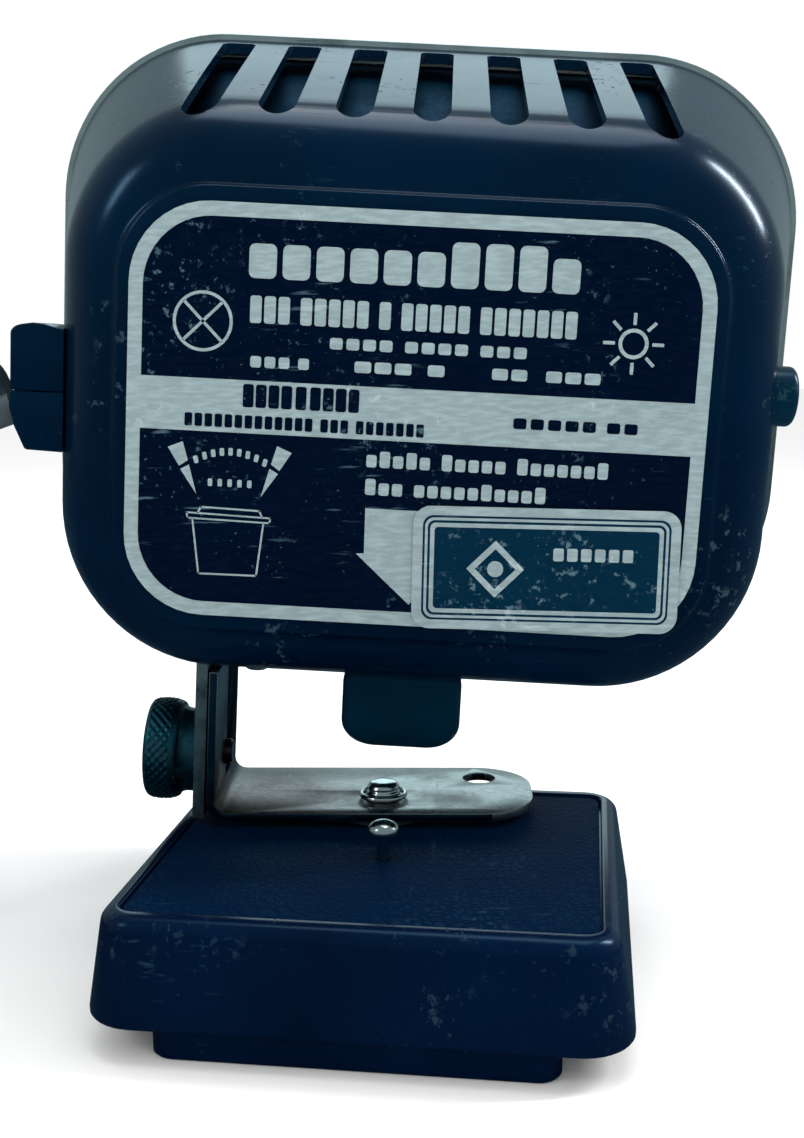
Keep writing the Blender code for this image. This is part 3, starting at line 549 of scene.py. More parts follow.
def coil_points():
    """The coil, clockwise from above. Radius and height are read off knots against the number
    of turns, eased between them: down into the top layer, in to the middle, down to the bottom
    layer, out again, then up the outside and over to the plug."""
    knots = np.array([  # turns, radius, height
        [0.00, 49.7, 23.1], [0.04, 50.2, 22.9], [0.25, 52.6, 14.0], [3.25, 37.0, 14.0], [3.60, 37.0, 5.3],
        [7.60, 57.8, 5.3], [8.05, 58.4, 23.0], [8.35, 48.6, 23.0], [8.45, 48.4, 26.0], [8.475, 48.4, 26.3]])
    turns = np.arange(0.0, knots[-1, 0] + 1e-9, 0.011)
    which = np.clip(np.searchsorted(knots[:, 0], turns, "right") - 1, 0, len(knots) - 2)
    share = (turns - knots[which, 0]) / (knots[which + 1, 0] - knots[which, 0])
    eased = share * share * (3 - 2 * share)
    radius = knots[which, 1] + (knots[which + 1, 1] - knots[which, 1]) * share
    height = knots[which, 2] + (knots[which + 1, 2] - knots[which, 2]) * eased
    angle = math.radians(-71.8) - 2 * math.pi * turns
    return np.stack([COIL_MIDDLE[0] + radius * np.cos(angle), COIL_MIDDLE[1] + radius * np.sin(angle), height], -1)


def even_curve(points, spacing):
    """A Catmull-Rom curve through the points, then points an even way apart along it."""
    p = np.vstack([2 * points[0] - points[1], points, 2 * points[-1] - points[-2]])
    t = np.linspace(0, 1, 16, endpoint=False)[None, :, None]
    a, b, c, d = (p[i:len(p) - 3 + i, None] for i in range(4))
    fine = 0.5 * (2 * b + (c - a) * t + (2 * a - 5 * b + 4 * c - d) * t**2 + (3 * b - a - 3 * c + d) * t**3)
    fine = np.vstack([fine.reshape(-1, 3), points[-1:]])
    along = np.r_[0, np.cumsum(np.linalg.norm(np.diff(fine, axis=0), axis=1))]
    wanted = np.linspace(0, along[-1], int(round(along[-1] / spacing)) + 1)
    return np.stack([np.interp(wanted, along, fine[:, k]) for k in range(3)], -1)


cord_path = even_curve(np.vstack([ROUTE[:-1], coil_points()]), 3.0)


# %% Sections carried along a path
def path_axes(path):
    """Sideways and upward directions along a path, the sideways one level."""
    tangent = np.gradient(path, axis=0)
    tangent /= np.linalg.norm(tangent, axis=1)[:, None]
    side = np.cross(tangent, (0, 0, 1))
    side /= np.maximum(np.linalg.norm(side, axis=1)[:, None], 1e-9)
    return side, np.cross(side, tangent)


def swept(path, section, scale=None):
    """A closed section of (sideways, upward) points in mm at every point of a path in mm."""
    side, up_way = path_axes(path)
    scale = np.ones(len(path)) if scale is None else np.asarray(scale)
    s = section[None, :, :, None] * scale[:, None, None, None]
    return path[:, None] + s[:, :, 0] * side[:, None] + s[:, :, 1] * up_way[:, None]


def twin_section(per_core=13):
    """The figure of eight: two arcs of the core's radius that meet in the grooves."""
    reach = math.acos(CORE_ASIDE / CORE_RADIUS)
    upper = np.linspace(-(math.pi / 2 - reach), math.pi + (math.pi / 2 - reach), per_core)
    top = np.stack([CORE_RADIUS * np.cos(upper), CORE_ASIDE + CORE_RADIUS * np.sin(upper)], -1)
    return np.vstack([top[:-1], -top[:-1]])


section = twin_section()
power_cord = surface("power_cord_jacket", swept(cord_path, section) / 1000, sharp=80)
relief_path = even_curve(ROUTE[:4], 0.8)
relief_path = relief_path[:int(25 / 0.8)]
along = np.linspace(0, 25, len(relief_path))
ribs = 0.035 * np.sin(np.clip(along - 9, 0, 13) * 2 * math.pi / 2.6) * (along > 9) * (along < 22)
relief_scale = np.interp(along, [0, 1.0, 9, 22, 24.2, 25], [1.25, 1.27, 1.24, 1.12, 1.09, 1.03]) + ribs
strain_relief = surface("ribbed_strain_relief", swept(relief_path, section, relief_scale) / 1000, sharp=60)
print("strain relief:", len(strain_relief.data.polygons), "faces")


# %% Cord colours
def core_shade_share(obj, path, half=0.8):
    """A vertex attribute: 1 on the upper core, 0 on the lower one, from how far each vertex is
    above its nearest point of the path."""
    at = np.empty(len(obj.data.vertices) * 3)
    obj.data.vertices.foreach_get("co", at)
    at = at.reshape(-1, 3) * 1000
    columns = len(section)
    up_way = path_axes(path)[1]
    rows = np.minimum(np.arange(len(at)) // columns, len(path) - 1)
    above = np.einsum("ij,ij->i", at - path[rows], up_way[rows])
    share = np.clip(above / half * 0.5 + 0.5, 0, 1)
    made = obj.data.attributes.new("core", "FLOAT", "POINT")
    made.data.foreach_set("value", share.astype(np.float32))


core_shade_share(power_cord, cord_path)
core_shade_share(strain_relief, relief_path)


def jacket(name, upper, lower, rough):
    """A rubbery jacket with a fine matt bloom; its upper core is painted darker than the lower one, as painted shade.
    """
    made, tree, shader = material(name, Specular_IOR_Level=0.4)
    core = node(tree, "ShaderNodeAttribute")
    core.attribute_name = "core"
    mottle = mottle_of(tree, 300.0, 3.0, 0.4, 0.7)
    # Painted shade: the upper core's colour is darker than the lower core's.
    two = blend_colour(tree, (core, "Fac"), lower, upper)
    bloom = math_node(tree, "MULTIPLY", (mottle, "Result"), 0.10)
    colour = blend_colour(tree, (bloom, "Value"), (two, 2), (0.25, 0.33, 0.35))
    finish_with(tree, shader, colour, rough, rough + 0.2, (mottle, "Result"))
    bump(tree, shader, (noise(tree, 1800.0, 2.0), "Fac"), 0.00003, 0.5)
    return made


JACKET = jacket("cord_jacket", (0.004, 0.028, 0.040), (0.055, 0.080, 0.092), 0.38)
power_cord.data.materials.append(JACKET)
strain_relief.data.materials.append(JACKET)

# %% [markdown]
# ## Plug, blades and tie
#
# The cord ends in a moulded two-blade plug that lies on the coil. Its body is a rounded
# superellipse that narrows to the cord with a few grip ribs, and a flat rubber tie goes round
# the coil's turns.

# %% Plug
PLUG_TURN = math.radians(100)
PLUG_RADIUS, PLUG_LOW = 48.4, 18.8
PLUG_MIDDLE = PLUG_LOW + 7.5


def on_coil(points, turn=PLUG_TURN):
    """Points drawn at an angle of the coil, x outwards and y along the turns, in mm."""
    p = np.asarray(points, float)
    x, y = turned(p[..., 0], p[..., 1], turn)
    return np.stack([x + COIL_MIDDLE[0], y + COIL_MIDDLE[1], p[..., 2]], -1) / 1000


def plug_rings():
    """Superellipses of order 3.2 across the plug, their size read off against the length, with
    three ribs near the cord end."""
    y = np.r_[-14.0, -13.6, -12.5, np.linspace(-11, 15.2, 60), 15.8, 16.0]
    knots = np.array([[-14, 9.4, 6.0], [-13.3, 10.6, 7.1], [-11, 11, 7.5], [2, 10.6, 7.2], [8, 8.2, 6.4],
                      [15.2, 5.6, 5.3], [16, 5.0, 4.8]])
    half_x, half_z = np.interp(y, knots[:, 0], knots[:, 1]), np.interp(y, knots[:, 0], knots[:, 2])
    rib = 0.45 * (0.5 - 0.5 * np.cos((y - 3) * 2 * math.pi / 2.6)) * (y > 3) * (y < 13.4)
    turn = full_turn(56)
    power = 2 / 3.2
    cx = np.sign(np.cos(turn)) * np.abs(np.cos(turn)) ** power
    cz = np.sign(np.sin(turn)) * np.abs(np.sin(turn)) ** power
    x = PLUG_RADIUS + (half_x - rib)[:, None] * cx
    z = PLUG_MIDDLE + (half_z - rib * 0.6)[:, None] * cz
    return np.stack([x, np.broadcast_to(y[:, None], x.shape), z], -1)


plug_body = surface("moulded_plug", on_coil(plug_rings()), sharp=50)
blades = []
for i, aside in enumerate((-6.35, 6.35)):
    y = np.array([-14.3, -29.4, -30.6, -31.0])
    half_x, half_z = np.array([0.75, 0.75, 0.55, 0.3]), np.array([3.2, 3.2, 2.6, 1.6])
    flat = outline(half_x, -half_z, half_z, 0.28, 4)
    blade_x = PLUG_RADIUS + aside
    rings = upright(flat, y) + [blade_x, 0, PLUG_MIDDLE]
    blade = surface(f"plug_blade_brass_{i + 1}", on_coil(rings), sharp=40)
    hole = pin([blade_x - 3, -27.4, PLUG_MIDDLE], [blade_x + 3, -27.4, PLUG_MIDDLE], 1.4, on_coil, 24)
    blades.append(carved(blade, [hole]))
print("plug:", plug_body.name, "with", len(blades), "blades")

# %% Tie
tie_flat = outline([14.35, 14.35, 14.9, 14.9], [0.95, 0.95, 0.4, 0.4], [18.85, 18.85, 19.4, 19.4], 3.0, 8)
tie_rows = np.array([-4.0, 4.0, 4.0, -4.0])
tie = surface("rubber_tie", on_coil(upright(tie_flat, tie_rows) + [PLUG_RADIUS, 0, 0], math.radians(40)), loop=True)
tie = softened(tie, 0.25)


def rubber(name, colour, rough=0.5):
    """Matt rubber, paler in dusty patches."""
    made, tree, shader = material(name, Specular_IOR_Level=0.35)
    mottle = mottle_of(tree, 140.0, 4.0, 0.35, 0.75)
    paler = tuple(min(1.0, c * 2.2 + 0.01) for c in colour)
    mixed = blend_colour(tree, (mottle, "Result"), colour, paler)
    finish_with(tree, shader, mixed, rough, rough + 0.2, (mottle, "Result"))
    bump(tree, shader, (noise(tree, 1500.0, 2.0), "Fac"), 0.00003, 0.6)
    return made


RUBBER = rubber("black_rubber", (0.004, 0.010, 0.014))
plug_body.data.materials.append(RUBBER)
tie.data.materials.append(RUBBER)
print("tie and plug ready")

# %% [markdown]
# ## Metals
#
# The bracket is nickelled steel with soft round marks, faint brown stains and a slightly
# uneven polish; round its bend it is painted darker and warmer, a painted dark reflection. Thumb
# screw and plate edges are duller and grainier. The reflector is bright aluminium, and the bezel is chromed.


# %% Metal finishes
def metal(name, colour, stain, rough, spread=0.2, stain_scale=70.0, grain=0.00002, dark=None, edge=WHITE,
          dark_reflection_spot=None):
    """A metal with slow stains, fine grain, scratches and a roughness that follows them. edge
    tints what it mirrors at a shallow angle. dark_reflection_spot is a place and a radius in
    metres, round which the metal is painted darker and warmer: a painted dark reflection."""
    made, tree, shader = material(name, metallic=1.0, Specular_Tint=(*edge, 1))
    cloud = noise(tree, stain_scale, 5.0)
    mottle = ramp(tree, (cloud, "Fac"), 0.50, 0.72)
    base = blend_colour(tree, (mottle, "Result"), colour, stain)
    # Painted dark reflection: the metal darkens and warms round the spot.
    if dark_reflection_spot:
        spread_out = node(tree, "ShaderNodeMapping", Vector=(node(tree, "ShaderNodeTexCoord"), "Object"),
                          Scale=(1 / dark_reflection_spot[1],) * 3, Location=tuple(-c / dark_reflection_spot[1] for c in dark_reflection_spot[0]))
        fall = node(tree, "ShaderNodeTexGradient", Vector=(spread_out, "Vector"))
        fall.gradient_type = "SPHERICAL"
        near = math_node(tree, "MULTIPLY", (fall, "Fac"), (cloud, "Fac"))
        base = blend_colour(tree, (ramp(tree, (near, "Value"), 0.04, 0.26), "Result"), (base, 2),
                            (colour[0] * 0.22, colour[1] * 0.15, colour[2] * 0.14))
    scuffs = use(tree, SCUFFS, Scale=110.0, Spread=0.46)
    mixed = blend_colour(tree, (scuffs, "Mask"), (base, 2), dark or tuple(c * 0.55 for c in colour))
    fine = noise(tree, 1100.0, 3.0)
    speckle = ramp(tree, (fine, "Fac"), 0.3, 0.7)
    rougher = math_node(tree, "MULTIPLY_ADD", (speckle, "Result"), 0.5, (mottle, "Result"))
    finish_with(tree, shader, mixed, rough, rough + spread, (rougher, "Value"))
    bump(tree, shader, (fine, "Fac"), grain, 0.7)
    return made


# Round the bracket's bend the nickel is painted darker and warmer: a painted dark reflection.
NICKEL = metal("stained_nickel", (0.30, 0.32, 0.31), (0.17, 0.175, 0.16), 0.26,
               dark_reflection_spot=((-0.024, 0.020, 0.024), 0.026))
# Painted dark reflection: the bracket's sheared edges and the far inside of its leg, where they mirror the dark
# platform.
DARK_REFLECTION_EDGE = metal("painted_reflection_edge", (0.008, 0.030, 0.055), (0.02, 0.05, 0.07), 0.3, stain_scale=200.0,
                  dark=(0.12, 0.18, 0.20), edge=(0.05, 0.12, 0.20))
EDGE_STEEL = metal("grainy_steel", (0.26, 0.31, 0.32), (0.05, 0.09, 0.11), 0.34, grain=0.00008, stain_scale=260.0)
CHROME = metal("bright_chrome", (0.46, 0.50, 0.50), (0.28, 0.30, 0.29), 0.14, spread=0.14)
DARK_STEEL = metal("blackened_steel", (0.014, 0.085, 0.12), (0.05, 0.13, 0.17), 0.34, spread=0.3, stain_scale=320.0,
                   grain=0.00006, dark=(0.35, 0.42, 0.45))
MIRROR = metal("polished_aluminium", (0.86, 0.87, 0.87), (0.74, 0.74, 0.72), 0.12, spread=0.12)
# Painted shade: near-black aluminium for the back of the reflector and the heat shield, which lie in the dark inside
# the housing.
SHADED_ALUMINIUM = metal("painted_shade_aluminium", (0.0005, 0.022, 0.050), (0.002, 0.03, 0.06), 0.5)
BRASS = metal("spring_brass", (0.66, 0.48, 0.20), (0.42, 0.29, 0.12), 0.28)
for blade in blades:
    blade.data.materials.append(BRASS)
print("metals:", [m.name for m in (NICKEL, EDGE_STEEL, CHROME, DARK_STEEL, MIRROR, BRASS)])

# %% [markdown]
# ## The housing
#
# The real housing is one deep moulding: a flat panel for the label, a rounded shoulder, four
# walls that flare towards the mouth, and seven cooling slots in the roof. Lofting rounded
# rectangles from the panel out, over the lip and back inside gives it a true wall, and the
# slots are cut afterwards with blocks that are round at the rear.

# %% Housing sizes and rings
REAR, FRONT = 8.0, 56.0  # depths of the shoulder and of the mouth
REAR_HALF, MOUTH_HALF, FLOOR = 59.0, 70.8, -44.0
REAR_ROOF, MOUTH_ROOF, MOUTH_CORNER = 49.4, 68.8, 31.0
CORD_DEPTH, CORD_BORE = 15.5, 4.6  # where the cord and the button are set, and the cord hole's radius


def flare(y, rear, front):
    """A straight line in depth from the size at the rear to the size at the mouth."""
    return rear + (front - rear) * (np.asarray(y, float) - REAR) / (FRONT - REAR)


def housing_outline(y, inset=0.0, steps=18):
    """The housing's rounded rectangle at depth y, drawn in by inset."""
    y, inset = np.broadcast_arrays(np.atleast_1d(np.asarray(y, float)), np.asarray(inset, float))
    flat = outline(flare(y, REAR_HALF, MOUTH_HALF) - inset, FLOOR + inset, flare(y, REAR_ROOF, MOUTH_ROOF) - inset,
                   flare(y, 27.0, MOUTH_CORNER) - 0.8 * inset, steps)
    return upright(flat, y)


def panel_outline(y, grow, steps=18):
    """The raised panel under the label, at depth y, grown by an amount."""
    y, grow = np.broadcast_arrays(np.asarray(y, float), np.asarray(grow, float))
    return upright(outline(49 + grow, -35.8 - grow, 35.8 + grow, 15 + grow, steps), y)


panel_edge = panel_outline([0.9, 0.93, 1.02, 1.2, 1.55, 1.95, 2.2, 2.34],
                           [-0.6, -0.38, -0.16, 0.02, 0.14, 0.3, 0.55, 1.0])
quarter = quarter_turn(15)
shoulder = housing_outline(2.4 + 8.4 * (1 - np.cos(quarter)), 7.2 * (1 - np.sin(quarter)))
walls = housing_outline([14, 20, 28, 36, 44, 52, 55.4])
lip = housing_outline([55.8, 56.0, 56.0, 55.8], [0.15, 0.5, 1.5, 1.85])
inner = np.concatenate([housing_outline([55.4, 44, 32, 20, 13], 2.0),
                        housing_outline([8.4, 5.8, 4.4], [3.2, 5.2, 9.0])])
housing = surface("housing_moulding", in_head(np.concatenate([panel_edge, shoulder, walls, lip, inner])), sharp=40)


def slot_cutter(x, half=3.1, rear=6.6, front=52.3):
    """A slot's shape in x and y, round at its rear end and square at its front, stood up
    through the roof."""
    turn = np.radians(np.linspace(180, 360, 25))
    round_end = np.stack([x + half * np.cos(turn), rear + half + half * np.sin(turn)], -1)
    ends = np.array([[x + half, front - 0.8], [x + half - 0.8, front],
                     [x - half + 0.8, front], [x - half, front - 0.8]])
    flat = np.vstack([round_end, ends])
    return surface("cutter", in_head(lying(np.stack([flat, flat]), [30.0, 80.0])))


SLOTS = (np.arange(7) - 3) * 12.55
cutters = [slot_cutter(x) for x in SLOTS]
cutters.append(block([-7, 10, -48], [7, 26, -40], in_head))
cutters.append(block([-36.2, 9, -48], [-31.3, 36.6, -40], in_head))
cutters.append(pin([50, CORD_DEPTH, 7], [70, CORD_DEPTH, 7], 5.5, in_head, 48))
cutters.append(pin([-70, CORD_DEPTH, 0.4], [-50, CORD_DEPTH, 0.4], CORD_BORE, in_head))
cutters += [pin([-26, y, -48], [-26, y, -38], 1.8, in_head, 24) for y in (15.8, 29.8)]
housing = carved(housing, cutters, sharp=40)
housing = softened(housing, 0.22, 2, 50)
fitted(housing, MOULDING, "head", "rear_housing")
print("housing:", len(housing.data.polygons), "faces")

# %% [markdown]
# ## Bezel, guard and reflector
#
# A bright pressed frame clips round the mouth and holds a guard of crossed wires. Behind it
# the reflector is a dished trough, open at its throat so that the lamp can slide for a wide or
# a narrow beam. Its dish follows a power law, steep at the throat and flat at the mouth.

# %% Bezel
bezel_profile = np.array([(-0.95, 56.35), (-1.15, 56.9), (-1.2, 57.8), (-1.1, 58.8), (-0.8, 59.7), (-0.2, 60.6),
                          (0.6, 61.2), (1.8, 61.5), (3.2, 61.6), (4.6, 61.3), (5.4, 60.8), (5.6, 60.0), (5.6, 59.2),
                          (4.6, 58.8), (3.4, 58.4), (2.2, 58.0), (2.2, 56.35)])
inset = bezel_profile[:, 0]
bezel_flat = outline(MOUTH_HALF - inset, FLOOR + inset, MOUTH_ROOF - inset, MOUTH_CORNER - inset, 24)
bezel = surface("pressed_bezel", in_head(upright(bezel_flat, bezel_profile[:, 1])), loop=True, sharp=50)
fitted(bezel, CHROME, "head", "front_bezel")


# %% Reflector
def reflector_rings(share, grow):
    """Rounded rectangles from the throat to the mouth. Half sizes grow with the share of the
    depth to the power 0.6."""
    bow = np.asarray(share) ** 0.6
    flat = outline(46 + 20 * bow + grow, 12.4 - (9 + 43.6 * bow) - grow, 12.4 + 9 + 43.6 * bow + grow,
                   5 + 22 * bow, 20)
    return upright(flat, 22 + 35.5 * np.asarray(share))


shares = np.linspace(0, 1, 26) ** 1.6
reflector = surface("dished_reflector", in_head(np.concatenate(
    [reflector_rings(shares, 0.0), reflector_rings(shares[::-1], 0.8)])), loop=True, sharp=40)
reflector.data.materials.append(MIRROR)
reflector.data.materials.append(SHADED_ALUMINIUM)
for polygon in reflector.data.polygons:  # the back of the dish is painted almost black: painted shade inside the housing
    polygon.material_index = int(polygon.normal.y < -0.02)
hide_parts("reflector")
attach(reflector, "head")


# %% Guard
def wire(path, radius=0.8, sides=10, close=False):
    """Points of a round wire along a path in mm. Each ring lies across the path."""
    if close:
        tangent = np.roll(path, -1, 0) - np.roll(path, 1, 0)
    else:
        tangent = np.gradient(path, axis=0)
    tangent /= np.linalg.norm(tangent, axis=1)[:, None]
    side = np.cross(tangent, [0.0, 1.0, 0.0])
    side /= np.linalg.norm(side, axis=1)[:, None]
    other = np.cross(side, tangent)
    turn = full_turn(sides)[None, :, None]
    return path[:, None] + radius * (np.cos(turn) * side[:, None] + np.sin(turn) * other[:, None])


def joined(name, objects, sharp=40):
    """One object of several, which are then removed."""
    whole = bmesh.new()
    for o in objects:
        whole.from_mesh(o.data)
        bpy.data.objects.remove(o)
    mesh = bpy.data.meshes.new(name)
    whole.to_mesh(mesh)
    whole.free()
    return finished(name, mesh, sharp)


frame_path = upright(outline(63.6, -36.8, 61.6, 23.8, 20), [59.6])[0]
wires = [surface("wire", in_head(wire(frame_path, close=True)), loop=True)]
for z in (-16, 12.4, 40.8):
    wires.append(surface("wire", in_head(wire(np.linspace([-63.4, 59.6, z], [63.4, 59.6, z], 9)))))
for x in (np.arange(7) - 3) * 15.5:
    wires.append(surface("wire", in_head(wire(np.linspace([x, 60.5, -36.6], [x, 60.5, 61.4], 9)))))
guard = joined("welded_guard", wires)
fitted(guard, CHROME, "head", "guard_wires")
print("guard:", len(guard.data.polygons), "faces")

# %% [markdown]
# ## The lamp
#
# The halogen lamp is a quartz tube, pinched flat at both ends and held between two ceramic
# blocks. Its coiled filament is drawn, because it shows through the clear tube from the front.

# %% Lamp
lamp_middle = np.array([0, 30.0, 12.0])
steps = np.linspace(-31.5, 31.5, 90)
squash = 1 - 0.62 * np.clip((np.abs(steps) - 26.0) / 3.0, 0, 1)
swell = np.where(np.abs(steps) < 26.5, 5.0, 5.0 - 1.6 * np.clip((np.abs(steps) - 26.5) / 3.0, 0, 1))
turn = full_turn(40)
tube_rings = np.stack([np.broadcast_to(steps[:, None], (90, 40)),
                       lamp_middle[1] + (swell * squash)[:, None] * np.cos(turn),
                       lamp_middle[2] + swell[:, None] * np.sin(turn)], -1)
lamp_tube = surface("quartz_tube", in_head(tube_rings), sharp=60)
coil_turn = np.linspace(0, 2 * math.pi * 34, 34 * 14)
filament_path = np.stack([np.linspace(-21, 21, len(coil_turn)), lamp_middle[1] + 1.1 * np.cos(coil_turn),
                          lamp_middle[2] + 1.1 * np.sin(coil_turn)], -1)
filament_path = np.vstack([[-29, 30, 12], [-22.5, 30, 12], filament_path, [22.5, 30, 12], [29, 30, 12]])
filament = surface("coiled_filament", in_head(wire(filament_path, 0.22, 6)), sharp=80)
TUNGSTEN = metal("tungsten", (0.35, 0.35, 0.36), (0.2, 0.2, 0.2), 0.35)
filament.data.materials.append(TUNGSTEN)


def quartz(name):
    """Clear quartz with a faint, uneven bloom. It is partly transparent, over what is inside."""
    made, tree, shader = material(name, Roughness=0.04, IOR=1.46, Alpha=0.24, Specular_IOR_Level=0.6)
    haze = mottle_of(tree, 60.0, 3.0, 0.5, 0.8)
    mixed = blend_colour(tree, (haze, "Result"), (0.86, 0.90, 0.92), (0.72, 0.74, 0.74))
    tree.links.new(mixed.outputs[2], shader.inputs["Base Color"])
    return made


def ceramic(name):
    """Unglazed ceramic: off-white, finely pitted, a little browned by heat."""
    made, tree, shader = material(name, Specular_IOR_Level=0.3)
    mottle = mottle_of(tree, 160.0, 5.0, 0.45, 0.75)
    mixed = blend_colour(tree, (mottle, "Result"), (0.76, 0.73, 0.66), (0.58, 0.50, 0.40))
    finish_with(tree, shader, mixed, 0.6, 0.85, (mottle, "Result"))
    bump(tree, shader, (noise(tree, 1400.0, 4.0), "Fac"), 0.00008, 0.7)
    return made


lamp_tube.data.materials.append(quartz("quartz_glass"))
CERAMIC = ceramic("lamp_ceramic")
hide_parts("lamp_tube")
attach(lamp_tube, "beam_slide")
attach(filament, "beam_slide")


# %% CAD shapes that only need finer edges
def refined(nodes, name, finish, width, body, segments=3, angle=30, sharp=30):
    """A copy of a CAD node's mesh, merged, its flat faces made whole and its edges rounded."""
    work = bmesh.new()
    work.from_mesh(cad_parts[nodes].data)
    bmesh.ops.remove_doubles(work, verts=work.verts, dist=2e-6)
    bmesh.ops.dissolve_limit(work, angle_limit=math.radians(1.2), verts=work.verts, edges=work.edges)
    mesh = bpy.data.meshes.new(name)
    work.to_mesh(mesh)
    work.free()
    for kept in [a.name for a in mesh.attributes if a.name == "custom_normal"]:
        mesh.attributes.remove(mesh.attributes[kept])
    obj = finished(name, mesh, sharp)
    if width:
        obj = softened(obj, width, segments, angle)
        smoothed(obj.data, sharp)
    obj.data.materials.clear()
    obj.data.materials.append(finish)
    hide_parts(nodes)
    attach(obj, body)
    return obj


for side in ("left", "right"):
    refined(f"lamp_holder_{side}", f"ceramic_holder_{side}", CERAMIC, 0.2, "beam_slide")
    refined(f"lamp_cap_{side}", f"ceramic_cap_{side}", CERAMIC, 0.3, "beam_slide")
    refined(f"contact_{side}", f"brass_contact_{side}", BRASS, 0.15, "beam_slide")
refined("lamp_carriage", "pressed_carriage", NICKEL, 0.2, "beam_slide")
# The heat shield is painted near-black: painted shade inside the housing.
refined("heat_baffle", "heat_shield", SHADED_ALUMINIUM, 0.2, "head")
refined("switch_body", "switch_case", MOULDING_BASE, 0.2, "head")
for i in (1, 2):
    refined(f"lever_rivet_{i}", f"slide_rivet_{i}", BRASS, 0.2, "beam_slide")
    refined(f"plate_rivet_{i}", f"steel_rivet_{i}", NICKEL, 0.0, "head")
print("lamp and slide ready")

# %% [markdown]
# ## Lever, switch and cord clamp
#
# The lever under the housing is a plain tab with soft edges. The switch is a domed round push
# button. The clamp is a block in two halves with the cord between them: its top is slightly
# domed, and the lower half's outer end is cut back on a slant.


# %% Lever
def lever_rings():
    """Rounded rectangles down the lever, a little smaller at the top and smaller over the last
    few millimetres so that its bottom edge is soft."""
    x_half, y_low, y_high = 10.4, 11.0, 20.0
    down = np.r_[-44.4, -45.2, np.linspace(-46, -52.8, 6)]
    turn = quarter_turn(14)[1:]
    bottom = -52.8 - 4.8 * np.sin(turn)
    pull = 5.6 * (1 - np.cos(turn))
    z = np.r_[down, bottom]
    inset_x = np.r_[0.6, 0.1, np.zeros(6), pull]
    inset_y = np.r_[0.5, 0.1, np.zeros(6), pull * 0.35]
    flat = outline(x_half - inset_x, y_low + inset_y, y_high - inset_y, np.maximum(1.6 - inset_y * 0.3, 0.5), 8)
    return lying(flat, z)


lever = surface("beam_lever_tab", in_head(lever_rings()), sharp=50)
stem = surface("stem", in_head(lying(outline([6.0, 6.0], [12.5, 12.5], [15.5, 15.5], 0.4, 4), [-44.0, -32.0])))
lever = joined("beam_lever_tab", [lever, stem], 50)
LEVER_BLACK = black_moulding("lever_black_moulding", 0.26, 0.4, (0.0001, 0.010, 0.022), (0.0002, 0.018, 0.036))
fitted(lever, LEVER_BLACK, "beam_slide", "beam_lever")

# %% Switch button
wall_x = float(flare(CORD_DEPTH, REAR_HALF, MOUTH_HALF))
curve = quarter_turn(10)
profile = np.vstack([
    [[0.02, 4.6], [1.5, 4.58], [3.0, 4.45]],
    np.stack([3.9 + 1.2 * np.sin(curve), 3.2 + 1.15 * np.cos(curve)], -1),
    [[5.1, 1.0], [5.1, -2.4], [0.02, -2.4]]])
button = surface("push_button", in_head(lathe(profile, [wall_x - 1.4, CORD_DEPTH, 7.0], [1, 0, 0], 56)), sharp=50)
fitted(button, LEVER_BLACK, "switch", "switch_button")
print("button stands out to", in_head([wall_x + 3.2, CORD_DEPTH, 7]).round(4))


# %% Cord clamp halves
def clamp_half(name, node_name, points):
    """A side outline of (x, z) points, carried from the rear to the front of the clamp, with its
    edges rounded, cut to fit the housing's wall and bored for the cord."""
    flat = np.array(points, float)
    grid = np.stack([np.stack([flat[:, 0], np.full(len(flat), y), flat[:, 1]], -1) for y in (7.5, 23.5)])
    half = surface(name, in_head(grid), sharp=25)
    half = softened(half, 0.45, 5, 28)
    wall = surface("cutter", in_head(housing_outline([3.0, 30.0], -0.06)))
    bore = pin([-80, CORD_DEPTH, 1.6], [-50, CORD_DEPTH, 1.6], CORD_BORE, in_head, 40)
    holes = [pin([-64.9, y, -12], [-64.9, y, 15], 1.3, in_head, 24) for y in (9.5, 21.5)]
    half = carved(half, [wall, bore] + holes, 32)
    fitted(half, MOULDING, "head", node_name)


crown = [(-67.9 + 9.3 * t, 12.0 + 0.9 * math.sin(math.pi * min(t * 1.1, 1))) for t in (0.08, 0.2, 0.4, 0.6, 0.8)]
clamp_half("clamp_upper_half", "cord_clamp_upper",
           [(-58.6, 1.66), (-58.6, 12.1)] + crown[::-1] + [(-67.9, 11.4), (-67.9, 1.66)])
clamp_half("clamp_lower_half", "cord_clamp_lower",
           [(-58.6, 1.60), (-68.0, 1.60), (-68.1, -1.2), (-67.2, -4.4), (-65.4, -8.2), (-58.6, -8.4)])
for i in (1, 2):
    refined(f"clamp_screw_{i}", f"clamp_screw_steel_{i}", DARK_STEEL, 0.0, "head")
print("clamp ready")

# %% [markdown]
# ## The label
#
# The label is a foil plate printed with dark blue fields, so its border, its middle band and
# its marks are bare metal. The print is modelled as thin layers laid on the foil, which keeps
# every edge crisp at any distance. Lettering is left out: rows of plain blocks stand in its
# place, a lamp symbol and a sun stand for two round marks, and a diamond for the mark on the
# small label. Scratches and flaked print come from the shared node groups, so they run across
# foil and ink alike.


# %% Label layers
def plate(name, points, low, high):
    """A flat shape of (x, z) points with a thickness in depth from low to high."""
    flat = np.asarray(points, float)
    rings = np.stack([np.stack([flat[:, 0], np.full(len(flat), y), flat[:, 1]], -1) for y in (low, high)])
    return surface(name, in_head(rings), sharp=20)


def rounded_plate(name, x, z, half_x, half_z, corner, low, high, turn=0.0, steps=10):
    """A rounded rectangular plate about (x, z), turned a little if need be."""
    flat = np.stack(turned(*outline(half_x, -half_z, half_z, corner, steps)[0].T, turn), -1)
    return plate(name, flat + [x, z], low, high)


